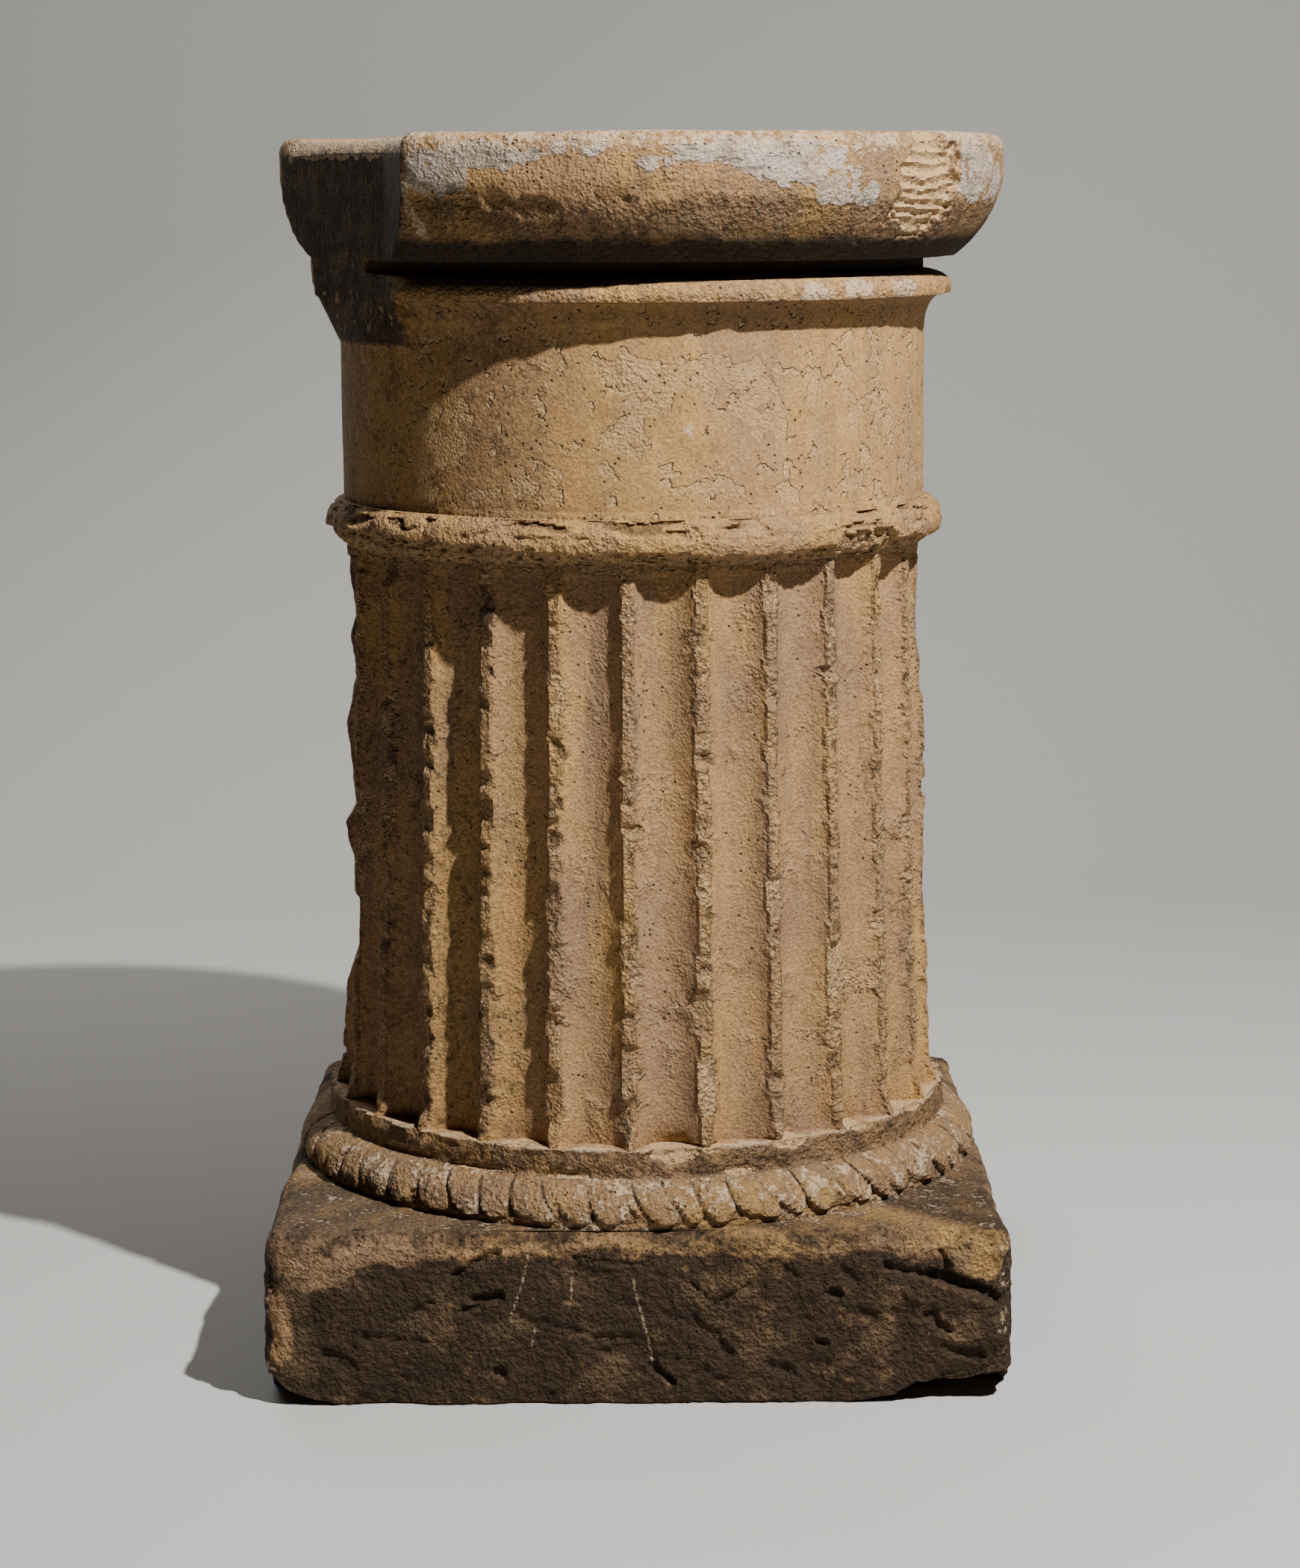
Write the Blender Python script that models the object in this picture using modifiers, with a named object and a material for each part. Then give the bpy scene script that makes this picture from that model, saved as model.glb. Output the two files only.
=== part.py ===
"""A short fluted column carved with its round capital, leaf moulding and square plinth from one block.

Metres, +Z up. The origin is the middle of the plinth's underside, on the column's axis, and the front
looks along -Y. Turned courses are one profile, from which the flutes, the groove and the breaks are cut.
"""

import math

import bmesh
import bpy
from mathutils import Matrix, Vector

OBJECT_NAME = "doric_column"

# Heights of the courses, from the ground up
PLINTH_HEIGHT = 0.129
LEAF_BAND_HEIGHT = 0.033
FOOT_FILLET_HEIGHT = 0.020
SHAFT_HEIGHT = 0.428
RING_HEIGHT = 0.035
NECK_HEIGHT = 0.119
CAVETTO_HEIGHT = 0.036
CAP_FILLET_HEIGHT = 0.014
GROOVE_HEIGHT = 0.014
ECHINUS_HEIGHT = 0.058
SLAB_HEIGHT = 0.033

# Radii of the turned courses
SLAB_RADIUS = 0.284
ECHINUS_FOOT_RADIUS = 0.248
CAP_FILLET_RADIUS = 0.246
GROOVE_RADIUS = 0.224
NECK_RADIUS = 0.225
RING_RADIUS = 0.240
SHAFT_TOP_RADIUS = 0.224
SHAFT_FOOT_RADIUS = 0.235
FOOT_FILLET_RADIUS = 0.244
LEAF_BAND_RADIUS = 0.268

# The square plinth
PLINTH_WIDTH = 0.550
PLINTH_TOP_EDGE_WEAR = 0.010
PLINTH_SIDE_EDGE_WEAR = 0.012

# Worn and curved edges of the turned courses
SLAB_EDGE_WEAR = 0.011
ECHINUS_SWELL = 0.0064
CAP_FILLET_WEAR = 0.002
CAVETTO_HOLLOW = 0.003
SHAFT_FLARE = 0.006
SHAFT_FLARE_HEIGHT = 0.028
SHAFT_FLARE_HOLLOW = 0.001
LEAF_SWELL = 0.006
LEAF_STEP = 0.003
LEAF_STRIP_HEIGHT = 0.006

# Flutes: each is the inner side of a leaning cone
FLUTES = 26
FLUTE_TURN = math.radians(-1.3)
FLUTE_DEPTH = 0.0145
ARRIS_WIDTH = 0.006
FLUTE_SIDES = 20

# Leaves of the base moulding, parted by slim pointed gaps
LEAVES = 30
LEAF_TURN = math.radians(3.7)
LEAF_GAP_WIDTH = 0.018
LEAF_GAP_POINT_WIDTH = 0.006
LEAF_GAP_STAND_OFF = 0.003
LEAF_GAP_SIDES = 8

# The groove under the slab, which the mason cut on the front and right only
GROOVE_START = math.radians(-62)
GROOVE_END = math.radians(165)
GROOVE_STEPS = 48
GROOVE_LIP = 0.003

# The flat cut at the capital's left front, which just touches the neck
CUT_TURN = math.radians(24.7)
CUT_CLEARANCE = 0.0005
CUT_STOP = 0.059
CUT_RETURN_TURN = math.radians(12.5)

TURNED_STEPS = 72
PROFILE_ARC_STEPS = 4
EDGE_STEPS = 3
OVERLAP = 0.012
REACH = 0.35

STONE_COLOUR = (0.46, 0.33, 0.21, 1.0)
STONE_ROUGHNESS = 0.9

# Levels of the courses
LEAF_BAND_FOOT = PLINTH_HEIGHT
FOOT_FILLET_FOOT = LEAF_BAND_FOOT + LEAF_BAND_HEIGHT
SHAFT_FOOT = FOOT_FILLET_FOOT + FOOT_FILLET_HEIGHT
RING_FOOT = SHAFT_FOOT + SHAFT_HEIGHT
NECK_FOOT = RING_FOOT + RING_HEIGHT
CAVETTO_FOOT = NECK_FOOT + NECK_HEIGHT
CAP_FILLET_FOOT = CAVETTO_FOOT + CAVETTO_HEIGHT
GROOVE_FOOT = CAP_FILLET_FOOT + CAP_FILLET_HEIGHT
ECHINUS_FOOT = GROOVE_FOOT + GROOVE_HEIGHT
SLAB_FOOT = ECHINUS_FOOT + ECHINUS_HEIGHT
TOP = SLAB_FOOT + SLAB_HEIGHT

# Losses that change the outline, on the plinth's front: its two bottom corners and a gash at the right.
# Each has its place across, its place in from the front, its level, its size and its tilt in degrees.
PLINTH_BREAKS = (
    (PLINTH_WIDTH / 2 - 0.012, 0.010, 0.000, (0.150, 0.120, 0.056), -9),
    (0.004 - PLINTH_WIDTH / 2, 0.006, -0.002, (0.110, 0.070, 0.046), 14),
    (PLINTH_WIDTH / 2 - 0.040, 0.000, PLINTH_HEIGHT - 0.036, (0.070, 0.026, 0.014), 28),
)
# And on the round courses: the neck ring's right front, the foot fillet and the slab's right front.
# Each has its degrees to the right of the front, its radius, its level and its size.
ROUND_BREAKS = (
    (49.0, RING_RADIUS + 0.004, RING_FOOT + 0.010, (0.052, 0.026, 0.022)),
    (6.5, FOOT_FILLET_RADIUS + 0.003, SHAFT_FOOT, (0.034, 0.018, 0.020)),
    (49.0, SLAB_RADIUS + 0.003, SLAB_FOOT + 0.004, (0.048, 0.016, 0.062)),
)


def clear_scene():
    for obj in list(bpy.data.objects):
        bpy.data.objects.remove(obj, do_unlink=True)


def new_collection(name):
    collection = bpy.data.collections.new(name)
    bpy.context.scene.collection.children.link(collection)
    return collection


def stone_material():
    material = bpy.data.materials.new("carved_stone")
    material.use_nodes = True
    shader = material.node_tree.nodes["Principled BSDF"]
    shader.inputs["Base Color"].default_value = STONE_COLOUR
    shader.inputs["Roughness"].default_value = STONE_ROUGHNESS
    shader.inputs["Metallic"].default_value = 0.0
    return material


def object_from(bm, name, collection):
    """Makes an object of the bmesh, with its faces pointing out."""
    bmesh.ops.recalc_face_normals(bm, faces=bm.faces)
    mesh = bpy.data.meshes.new(name)
    bm.to_mesh(mesh)
    bm.free()
    obj = bpy.data.objects.new(name, mesh)
    collection.objects.link(obj)
    return obj


def helper_from(bm, name, collection):
    obj = object_from(bm, name, collection)
    obj.hide_render = True
    obj.display_type = "WIRE"
    return obj


def swollen_line(start, end, swell, steps):
    """Points of an arc whose middle stands swell off the chord, outward on the way down; negative is hollow."""
    start = Vector(start)
    end = Vector(end)
    along = (end - start).normalized()
    side = Vector((-along.y, along.x)) * math.copysign(1.0, swell)
    rise = abs(swell)
    half_chord = (end - start).length / 2
    radius = (half_chord**2 + rise**2) / (2 * rise)
    half_angle = math.asin(half_chord / radius)
    centre = (start + end) / 2 + side * (rise - radius)
    angles = [half_angle * (2 * step / steps - 1) for step in range(steps + 1)]
    points = [centre + radius * (math.sin(a) * along + math.cos(a) * side) for a in angles]
    return [(point.x, point.y) for point in points]


def quarter_round(centre_radius, centre_level, across, up, steps):
    """Points of a quarter ellipse, from its top to its outermost point."""
    angles = [math.pi / 2 * (1 - step / steps) for step in range(steps + 1)]
    return [(centre_radius + across * math.cos(a), centre_level + up * math.sin(a)) for a in angles]


def capital_profile():
    edge = quarter_round(
        SLAB_RADIUS - SLAB_EDGE_WEAR, TOP - SLAB_EDGE_WEAR, SLAB_EDGE_WEAR, SLAB_EDGE_WEAR, EDGE_STEPS
    )
    echinus = swollen_line(
        (SLAB_RADIUS, SLAB_FOOT), (ECHINUS_FOOT_RADIUS, ECHINUS_FOOT), ECHINUS_SWELL, PROFILE_ARC_STEPS
    )
    cavetto = swollen_line(
        (CAP_FILLET_RADIUS - CAP_FILLET_WEAR, CAP_FILLET_FOOT),
        (NECK_RADIUS, CAVETTO_FOOT),
        -CAVETTO_HOLLOW,
        PROFILE_ARC_STEPS,
    )
    band_foot = (CAP_FILLET_RADIUS, CAP_FILLET_FOOT + CAP_FILLET_WEAR)
    return [(0.0, TOP), *edge, *echinus, band_foot, *cavetto]


def ring_profile():
    half = RING_HEIGHT / 2
    upper = quarter_round(NECK_RADIUS, NECK_FOOT - half, RING_RADIUS - NECK_RADIUS, half, EDGE_STEPS)
    lower = quarter_round(
        SHAFT_TOP_RADIUS, RING_FOOT + half, RING_RADIUS - SHAFT_TOP_RADIUS, -half, EDGE_STEPS
    )
    return [*upper, *reversed(lower[:-1])]


def foot_profile():
    flare = swollen_line(
        (SHAFT_FOOT_RADIUS, SHAFT_FOOT + SHAFT_FLARE_HEIGHT),
        (SHAFT_FOOT_RADIUS + SHAFT_FLARE, SHAFT_FOOT),
        -SHAFT_FLARE_HOLLOW,
        2,
    )
    leaf_foot = LEAF_BAND_FOOT + LEAF_STRIP_HEIGHT
    leaf = swollen_line(
        (FOOT_FILLET_RADIUS, FOOT_FILLET_FOOT), (LEAF_BAND_RADIUS, leaf_foot), LEAF_SWELL, PROFILE_ARC_STEPS
    )
    strip_radius = LEAF_BAND_RADIUS - LEAF_STEP
    return [
        *flare,
        (FOOT_FILLET_RADIUS, SHAFT_FOOT),
        *leaf,
        (strip_radius, leaf_foot),
        (strip_radius, PLINTH_HEIGHT - OVERLAP),
        (0.0, PLINTH_HEIGHT - OVERLAP),
    ]


def turned_body(collection):
    """The turned courses from the slab's top to the leaf moulding's foot, which sinks into the plinth."""
    bm = bmesh.new()
    profile = capital_profile() + ring_profile() + foot_profile()
    points = [bm.verts.new((radius, 0.0, level)) for radius, level in profile]
    for upper, lower in zip(points, points[1:]):
        bm.edges.new((upper, lower))
    mesh = bpy.data.meshes.new("column")
    bm.to_mesh(mesh)
    bm.free()
    body = bpy.data.objects.new("column", mesh)
    collection.objects.link(body)
    screw = body.modifiers.new("turn", "SCREW")
    screw.axis = "Z"
    screw.angle = 2 * math.pi
    screw.steps = TURNED_STEPS
    screw.render_steps = TURNED_STEPS
    screw.use_merge_vertices = True
    screw.merge_threshold = 0.0001
    return body


def cut_with(body, cutter, operation="DIFFERENCE"):
    cut = body.modifiers.new(cutter.name, "BOOLEAN")
    cut.object = cutter
    cut.operation = operation
    cut.solver = "EXACT"


def plinth_block(collection):
    bm = bmesh.new()
    bmesh.ops.create_cube(bm, size=1.0)
    bmesh.ops.scale(bm, vec=(PLINTH_WIDTH, PLINTH_WIDTH, PLINTH_HEIGHT), verts=bm.verts)
    bmesh.ops.translate(bm, vec=(0.0, 0.0, PLINTH_HEIGHT / 2), verts=bm.verts)
    upright = [edge for edge in bm.edges if abs((edge.verts[0].co - edge.verts[1].co).z) > PLINTH_HEIGHT / 2]
    bmesh.ops.bevel(
        bm, geom=upright, offset=PLINTH_SIDE_EDGE_WEAR, segments=2, profile=0.5, affect="EDGES", material=-1
    )
    top = [edge for edge in bm.edges if all(vert.co.z > PLINTH_HEIGHT - OVERLAP / 2 for vert in edge.verts)]
    bmesh.ops.bevel(
        bm, geom=top, offset=PLINTH_TOP_EDGE_WEAR, segments=2, profile=0.5, affect="EDGES", material=-1
    )
    return helper_from(bm, "plinth_block", collection)


def flute_radius(shaft_radius):
    """Radius of the circle that makes a flute of the set depth between two arrises."""
    width = 2 * shaft_radius * math.sin(math.pi / FLUTES) - ARRIS_WIDTH
    return width * width / (8 * FLUTE_DEPTH) + FLUTE_DEPTH / 2


def flute_cutters(collection):
    """Leaning cones, cut off flat outside the shaft, between the foot fillet and the ring."""
    foot_radius = flute_radius(SHAFT_FOOT_RADIUS)
    top_radius = flute_radius(SHAFT_TOP_RADIUS)
    foot_reach = SHAFT_FOOT_RADIUS - FLUTE_DEPTH + foot_radius
    top_reach = SHAFT_TOP_RADIUS - FLUTE_DEPTH + top_radius
    outside = SHAFT_FOOT_RADIUS + SHAFT_FLARE + OVERLAP
    bm = bmesh.new()
    for flute in range(FLUTES):
        cone = bmesh.ops.create_cone(
            bm,
            cap_ends=True,
            segments=FLUTE_SIDES,
            radius1=foot_radius,
            radius2=top_radius,
            depth=SHAFT_HEIGHT,
        )["verts"]
        for vert in cone:
            reach = foot_reach if vert.co.z < 0 else top_reach
            vert.co.x = min(vert.co.x + reach, outside)
            vert.co.z += SHAFT_FOOT + SHAFT_HEIGHT / 2
        turn = FLUTE_TURN - math.pi / 2 + (flute + 0.5) * 2 * math.pi / FLUTES
        bmesh.ops.rotate(bm, verts=cone, matrix=Matrix.Rotation(turn, 3, "Z"))
    return helper_from(bm, "flutes", collection)


def leaf_gap_cutters(collection):
    """Leaning cones, point up, that part each leaf's round tip from the next one's."""
    low = LEAF_BAND_FOOT + LEAF_STRIP_HEIGHT - CUT_CLEARANCE
    high = FOOT_FILLET_FOOT - CUT_CLEARANCE
    low_reach = LEAF_BAND_RADIUS + LEAF_GAP_STAND_OFF
    high_reach = FOOT_FILLET_RADIUS + 2 * LEAF_GAP_STAND_OFF
    bm = bmesh.new()
    for leaf in range(LEAVES):
        gap = bmesh.ops.create_cone(
            bm,
            cap_ends=True,
            segments=LEAF_GAP_SIDES,
            radius1=LEAF_GAP_WIDTH / 2,
            radius2=LEAF_GAP_POINT_WIDTH / 2,
            depth=high - low,
        )["verts"]
        for vert in gap:
            vert.co.x += low_reach if vert.co.z < 0 else high_reach
            vert.co.z += (high + low) / 2
        turn = LEAF_TURN - math.pi / 2 + leaf * 2 * math.pi / LEAVES
        bmesh.ops.rotate(bm, verts=gap, matrix=Matrix.Rotation(turn, 3, "Z"))
    return helper_from(bm, "leaf_gaps", collection)


def groove_cutter(collection):
    """The recess between the capital's fillet and the slab, turned through part of a circle."""
    outside = SLAB_RADIUS
    section = (
        (outside, CAP_FILLET_FOOT + GROOVE_LIP),
        (CAP_FILLET_RADIUS, CAP_FILLET_FOOT + GROOVE_LIP),
        (GROOVE_RADIUS, GROOVE_FOOT),
        (GROOVE_RADIUS, ECHINUS_FOOT - CUT_CLEARANCE),
        (outside, ECHINUS_FOOT - CUT_CLEARANCE),
    )
    bm = bmesh.new()
    face = bm.faces.new([bm.verts.new((radius, 0.0, level)) for radius, level in section])
    bmesh.ops.rotate(
        bm, verts=bm.verts, matrix=Matrix.Rotation(GROOVE_START - math.pi / 2, 3, "Z")
    )
    bmesh.ops.spin(
        bm,
        geom=[face, *face.edges, *face.verts],
        cent=(0.0, 0.0, 0.0),
        axis=(0.0, 0.0, 1.0),
        angle=GROOVE_END - GROOVE_START,
        steps=GROOVE_STEPS,
        use_merge=False,
    )
    return helper_from(bm, "groove", collection)


def capital_cut(collection):
    """The block that the mason took off the capital: a face that touches the neck, and a short return."""
    outward = Vector((-math.cos(CUT_TURN), -math.sin(CUT_TURN), 0.0))
    along = Vector((math.sin(CUT_TURN), -math.cos(CUT_TURN), 0.0))
    touch = outward * (NECK_RADIUS + CUT_CLEARANCE)
    corner = touch + along * CUT_STOP
    front = corner + REACH * Vector((math.sin(CUT_RETURN_TURN), -math.cos(CUT_RETURN_TURN), 0.0))
    back = touch - along * REACH
    outline = [corner, back, back + outward * REACH, front + outward * REACH, front]
    bm = bmesh.new()
    face = bm.faces.new([bm.verts.new((p.x, p.y, CAVETTO_FOOT + CUT_CLEARANCE)) for p in outline])
    raised = bmesh.ops.extrude_face_region(bm, geom=[face])["geom"]
    moved = [item for item in raised if isinstance(item, bmesh.types.BMVert)]
    bmesh.ops.translate(bm, verts=moved, vec=(0.0, 0.0, REACH))
    return helper_from(bm, "capital_cut", collection)


def add_break(bm, place, size, axis, turn):
    """A rough lump, the size of a lost flake, turned by these degrees, with its middle at place."""
    lump = bmesh.ops.create_icosphere(bm, subdivisions=1, radius=0.5)["verts"]
    bmesh.ops.scale(bm, verts=lump, vec=size)
    bmesh.ops.rotate(bm, verts=lump, matrix=Matrix.Rotation(math.radians(turn), 3, axis))
    bmesh.ops.translate(bm, verts=lump, vec=place)


def break_cutters(collection):
    bm = bmesh.new()
    for across, inward, level, size, tilt in PLINTH_BREAKS:
        add_break(bm, (across, inward - PLINTH_WIDTH / 2, level), size, "Y", tilt)
    for azimuth, radius, level, size in ROUND_BREAKS:
        turn = math.radians(azimuth)
        place = (radius * math.sin(turn), -radius * math.cos(turn), level)
        add_break(bm, place, size, "Z", azimuth)
    return helper_from(bm, "breaks", collection)


def main():
    clear_scene()
    parts = new_collection(OBJECT_NAME)
    helpers = new_collection("cutters")
    body = turned_body(parts)
    cut_with(body, flute_cutters(helpers))
    cut_with(body, groove_cutter(helpers))
    cut_with(body, plinth_block(helpers), "UNION")
    cut_with(body, leaf_gap_cutters(helpers))
    cut_with(body, capital_cut(helpers))
    cut_with(body, break_cutters(helpers))
    body.data.materials.append(stone_material())


main()
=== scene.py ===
import math

import bmesh
import bpy
import numpy as np
from bpy.props import FloatProperty, FloatVectorProperty, IntProperty, PointerProperty
from mathutils import Matrix, Vector, noise


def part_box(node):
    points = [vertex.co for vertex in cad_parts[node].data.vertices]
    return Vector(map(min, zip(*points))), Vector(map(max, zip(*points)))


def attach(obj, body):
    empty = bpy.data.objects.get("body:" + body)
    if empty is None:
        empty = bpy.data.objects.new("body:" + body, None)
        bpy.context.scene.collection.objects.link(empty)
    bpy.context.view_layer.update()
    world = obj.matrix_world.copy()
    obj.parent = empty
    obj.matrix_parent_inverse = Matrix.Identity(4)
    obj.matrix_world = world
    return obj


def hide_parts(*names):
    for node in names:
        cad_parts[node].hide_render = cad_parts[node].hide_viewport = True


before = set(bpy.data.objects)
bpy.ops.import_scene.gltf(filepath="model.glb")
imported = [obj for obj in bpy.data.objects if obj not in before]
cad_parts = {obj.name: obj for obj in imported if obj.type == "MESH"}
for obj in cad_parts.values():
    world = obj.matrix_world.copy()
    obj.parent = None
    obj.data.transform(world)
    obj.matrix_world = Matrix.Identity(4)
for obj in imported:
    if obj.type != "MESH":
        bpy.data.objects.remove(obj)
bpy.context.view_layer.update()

bl_info = {
    "name": "Fluted Stone Column",
    "version": (1, 0, 0),
    "blender": (4, 5, 0),
    "location": "3D View > Sidebar > Column",
    "description": "A short fluted stone column, carved, worn and chipped, on a plain pale stage",
    "category": "Object",
}

# Metres, +Z up, the column's axis on Z and its front towards -Y.
# An azimuth is the angle to the right of the front, seen from the front.
COLUMN_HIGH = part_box("column")[1]
MM = 0.001

# The mesh starts as a turned grid with these many columns in each flute at the front and at the back
FRONT_FLUTE_COLUMNS = 10
BACK_FLUTE_COLUMNS = 6
# Rows and columns this much apart are the same one
NEAR_ROW = 1e-4
NEAR_COLUMN = 1e-3
# A radius beyond the whole column, for where a cut or a hollow doesn't reach
BEYOND = 9.0


def length(name, default, description):
    """A size of the column that a user may change."""
    return FloatProperty(
        name=name, description=description, default=default, min=0.0, unit="LENGTH", precision=4
    )


def power(name, default):
    """The power of a light in watts."""
    description = f"Power of the {name.lower()}"
    return FloatProperty(name=name, description=description, default=default, min=0.0, unit="POWER")


def colour(name, default, description):
    """A colour that a user may change."""
    return FloatVectorProperty(
        name=name, description=description, default=default, size=3, min=0.0, max=1.0, subtype="COLOR"
    )


class ColumnSizes(bpy.types.PropertyGroup):
    """Sizes of the courses, from the ground up."""

    top: length("Height", COLUMN_HIGH.z, "Level of the capital's top")
    plinth_width: length("Plinth width", 0.550, "Side of the square plinth")
    plinth_height: length("Plinth height", 0.129, "Height of the square plinth")
    plinth_wear: length("Plinth edge wear", 0.010, "Radius of the plinth's worn edges")
    leaf_radius: length("Leaf band radius", 0.268, "Outer radius of the leaf moulding")
    leaf_strip: length("Leaf strip height", 0.006, "Height of the plain strip below the leaf tips")
    fillet_height: length("Foot fillet height", 0.020, "Height of the fillet under the flutes")
    fillet_radius: length("Foot fillet radius", 0.244, "Radius of the fillet under the flutes")
    shaft_height: length("Shaft height", 0.428, "Height of the fluted shaft")
    shaft_top_radius: length("Shaft top radius", 0.224, "Radius of the arrises under the ring")
    shaft_foot_radius: length("Shaft foot radius", 0.235, "Radius of the arrises above their flare")
    shaft_flare: length("Shaft flare", 0.006, "How far the arrises spread at the shaft's foot")
    shaft_flare_height: length("Shaft flare height", 0.028, "Height over which the arrises spread")
    flutes: IntProperty(name="Flutes", description="Number of flutes", default=26, min=8, max=40)
    flute_depth: length("Flute depth", 0.0145, "Depth of a flute below its arrises")
    arris_width: length("Arris width", 0.0074, "Width of the flat worn on each arris")
    ring_height: length("Ring height", 0.035, "Height of the neck ring")
    ring_radius: length("Ring radius", 0.240, "Outer radius of the neck ring")
    neck_height: length("Neck height", 0.119, "Height of the plain neck")
    neck_radius: length("Neck radius", 0.225, "Radius of the plain neck")
    cavetto_height: length("Cavetto height", 0.036, "Height of the hollow under the capital's fillet")
    band_height: length("Capital fillet height", 0.014, "Height of the capital's fillet")
    band_radius: length("Capital fillet radius", 0.246, "Radius of the capital's fillet")
    groove_height: length("Groove height", 0.014, "Height of the groove under the echinus")
    groove_radius: length("Groove radius", 0.224, "Radius of the groove's back")
    echinus_height: length("Echinus height", 0.058, "Height of the round moulding under the slab")
    echinus_radius: length("Echinus foot radius", 0.248, "Radius of the echinus at its foot")
    slab_height: length("Slab height", 0.033, "Height of the slab's upright edge")
    slab_radius: length("Slab radius", COLUMN_HIGH.x, "Radius of the capital's slab")
    slab_wear: length("Slab edge wear", 0.011, "Radius of the slab's worn top edge")


class StoneColours(bpy.types.PropertyGroup):
    """Colours of the stone and of what lies on it."""

    warm: colour("Warm stone", (0.325, 0.188, 0.083), "The stone's usual warm tan")
    grey: colour("Grey stone", (0.190, 0.119, 0.074), "Greyer, slightly purple bands in the worn skin")
    ochre: colour("Ochre stone", (0.385, 0.222, 0.072), "Yellower bands in the worn skin")
    brown: colour("Brown patina", (0.030, 0.018, 0.009), "Brown patina on the plinth and in rough places")
    lime: colour("Lime skin", (0.39, 0.33, 0.272), "Smooth grey lime left on the capital")
    pale: colour("Pale dust", (0.43, 0.315, 0.20), "Pale lime and dust on the worn edges")
    fresh: colour("Fresh break", (0.44, 0.285, 0.140), "Stone where a flake came off lately")
    # This near-black colour is both grime and the painted shade in grooves, bites, pits, creases and under
    # the capital
    dirt_and_shade: colour("Dirt", (0.018, 0.011, 0.006), "Dirt in pits, cracks and under the capital")


class StageLooks(bpy.types.PropertyGroup):
    """The stage that the column stands on."""

    floor: colour("Floor", (0.43, 0.415, 0.39), "Colour of the plain floor and backdrop")
    key: power("Key light", 226.0)
    back: power("Back light", 26.0)
    sky: FloatProperty(name="Fill light", description="Strength of the even fill", default=0.010, min=0.0)


class Courses:
    """Levels where the courses meet, from the top down."""

    def __init__(self, sizes):
        self.slab_foot = sizes.top - sizes.slab_height
        self.echinus_foot = self.slab_foot - sizes.echinus_height
        self.groove_foot = self.echinus_foot - sizes.groove_height
        self.band_foot = self.groove_foot - sizes.band_height
        self.cavetto_foot = self.band_foot - sizes.cavetto_height
        self.neck_foot = self.cavetto_foot - sizes.neck_height
        self.ring_foot = self.neck_foot - sizes.ring_height
        self.shaft_foot = self.ring_foot - sizes.shaft_height
        self.fillet_foot = self.shaft_foot - sizes.fillet_height
        self.leaf_foot = sizes.plinth_height + sizes.leaf_strip


class Profile:
    """Half the column's outline as rows of (radius, level), from the top's middle to the underside's."""

    def __init__(self, radius, level):
        self.rows = [(radius, level)]
        self.marks = {}

    def mark(self, name):
        """Names the last row, so that a course can be found by it."""
        self.marks[name] = len(self.rows) - 1

    def line(self, radius, level, rows):
        """A straight line of this many rows."""
        start = Vector(self.rows[-1])
        end = Vector((radius, level))
        self.rows += [tuple(start.lerp(end, row / rows)) for row in range(1, rows + 1)]

    def arc(self, radius, level, swell, rows):
        """A shallow curve whose middle stands swell off the chord."""
        start = Vector(self.rows[-1])
        end = Vector((radius, level))
        along = (end - start).normalized()
        side = Vector((-along.y, along.x))
        for row in range(1, rows + 1):
            share = row / rows
            point = start.lerp(end, share) + side * swell * 4 * share * (1 - share)
            self.rows.append(tuple(point))

    def quarter(self, radius, level, rows, round_out):
        """A quarter round: it leaves level and ends upright, or the other way round."""
        start = Vector(self.rows[-1])
        for row in range(1, rows + 1):
            turn = math.pi / 2 * row / rows
            if round_out:
                across, down = math.sin(turn), 1 - math.cos(turn)
            else:
                across, down = 1 - math.cos(turn), math.sin(turn)
            self.rows.append((start.x + (radius - start.x) * across, start.y + (level - start.y) * down))


# Height of the upright part of the capital's fillet, below its worn round shoulder
BAND_EDGE = 5 * MM


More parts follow.
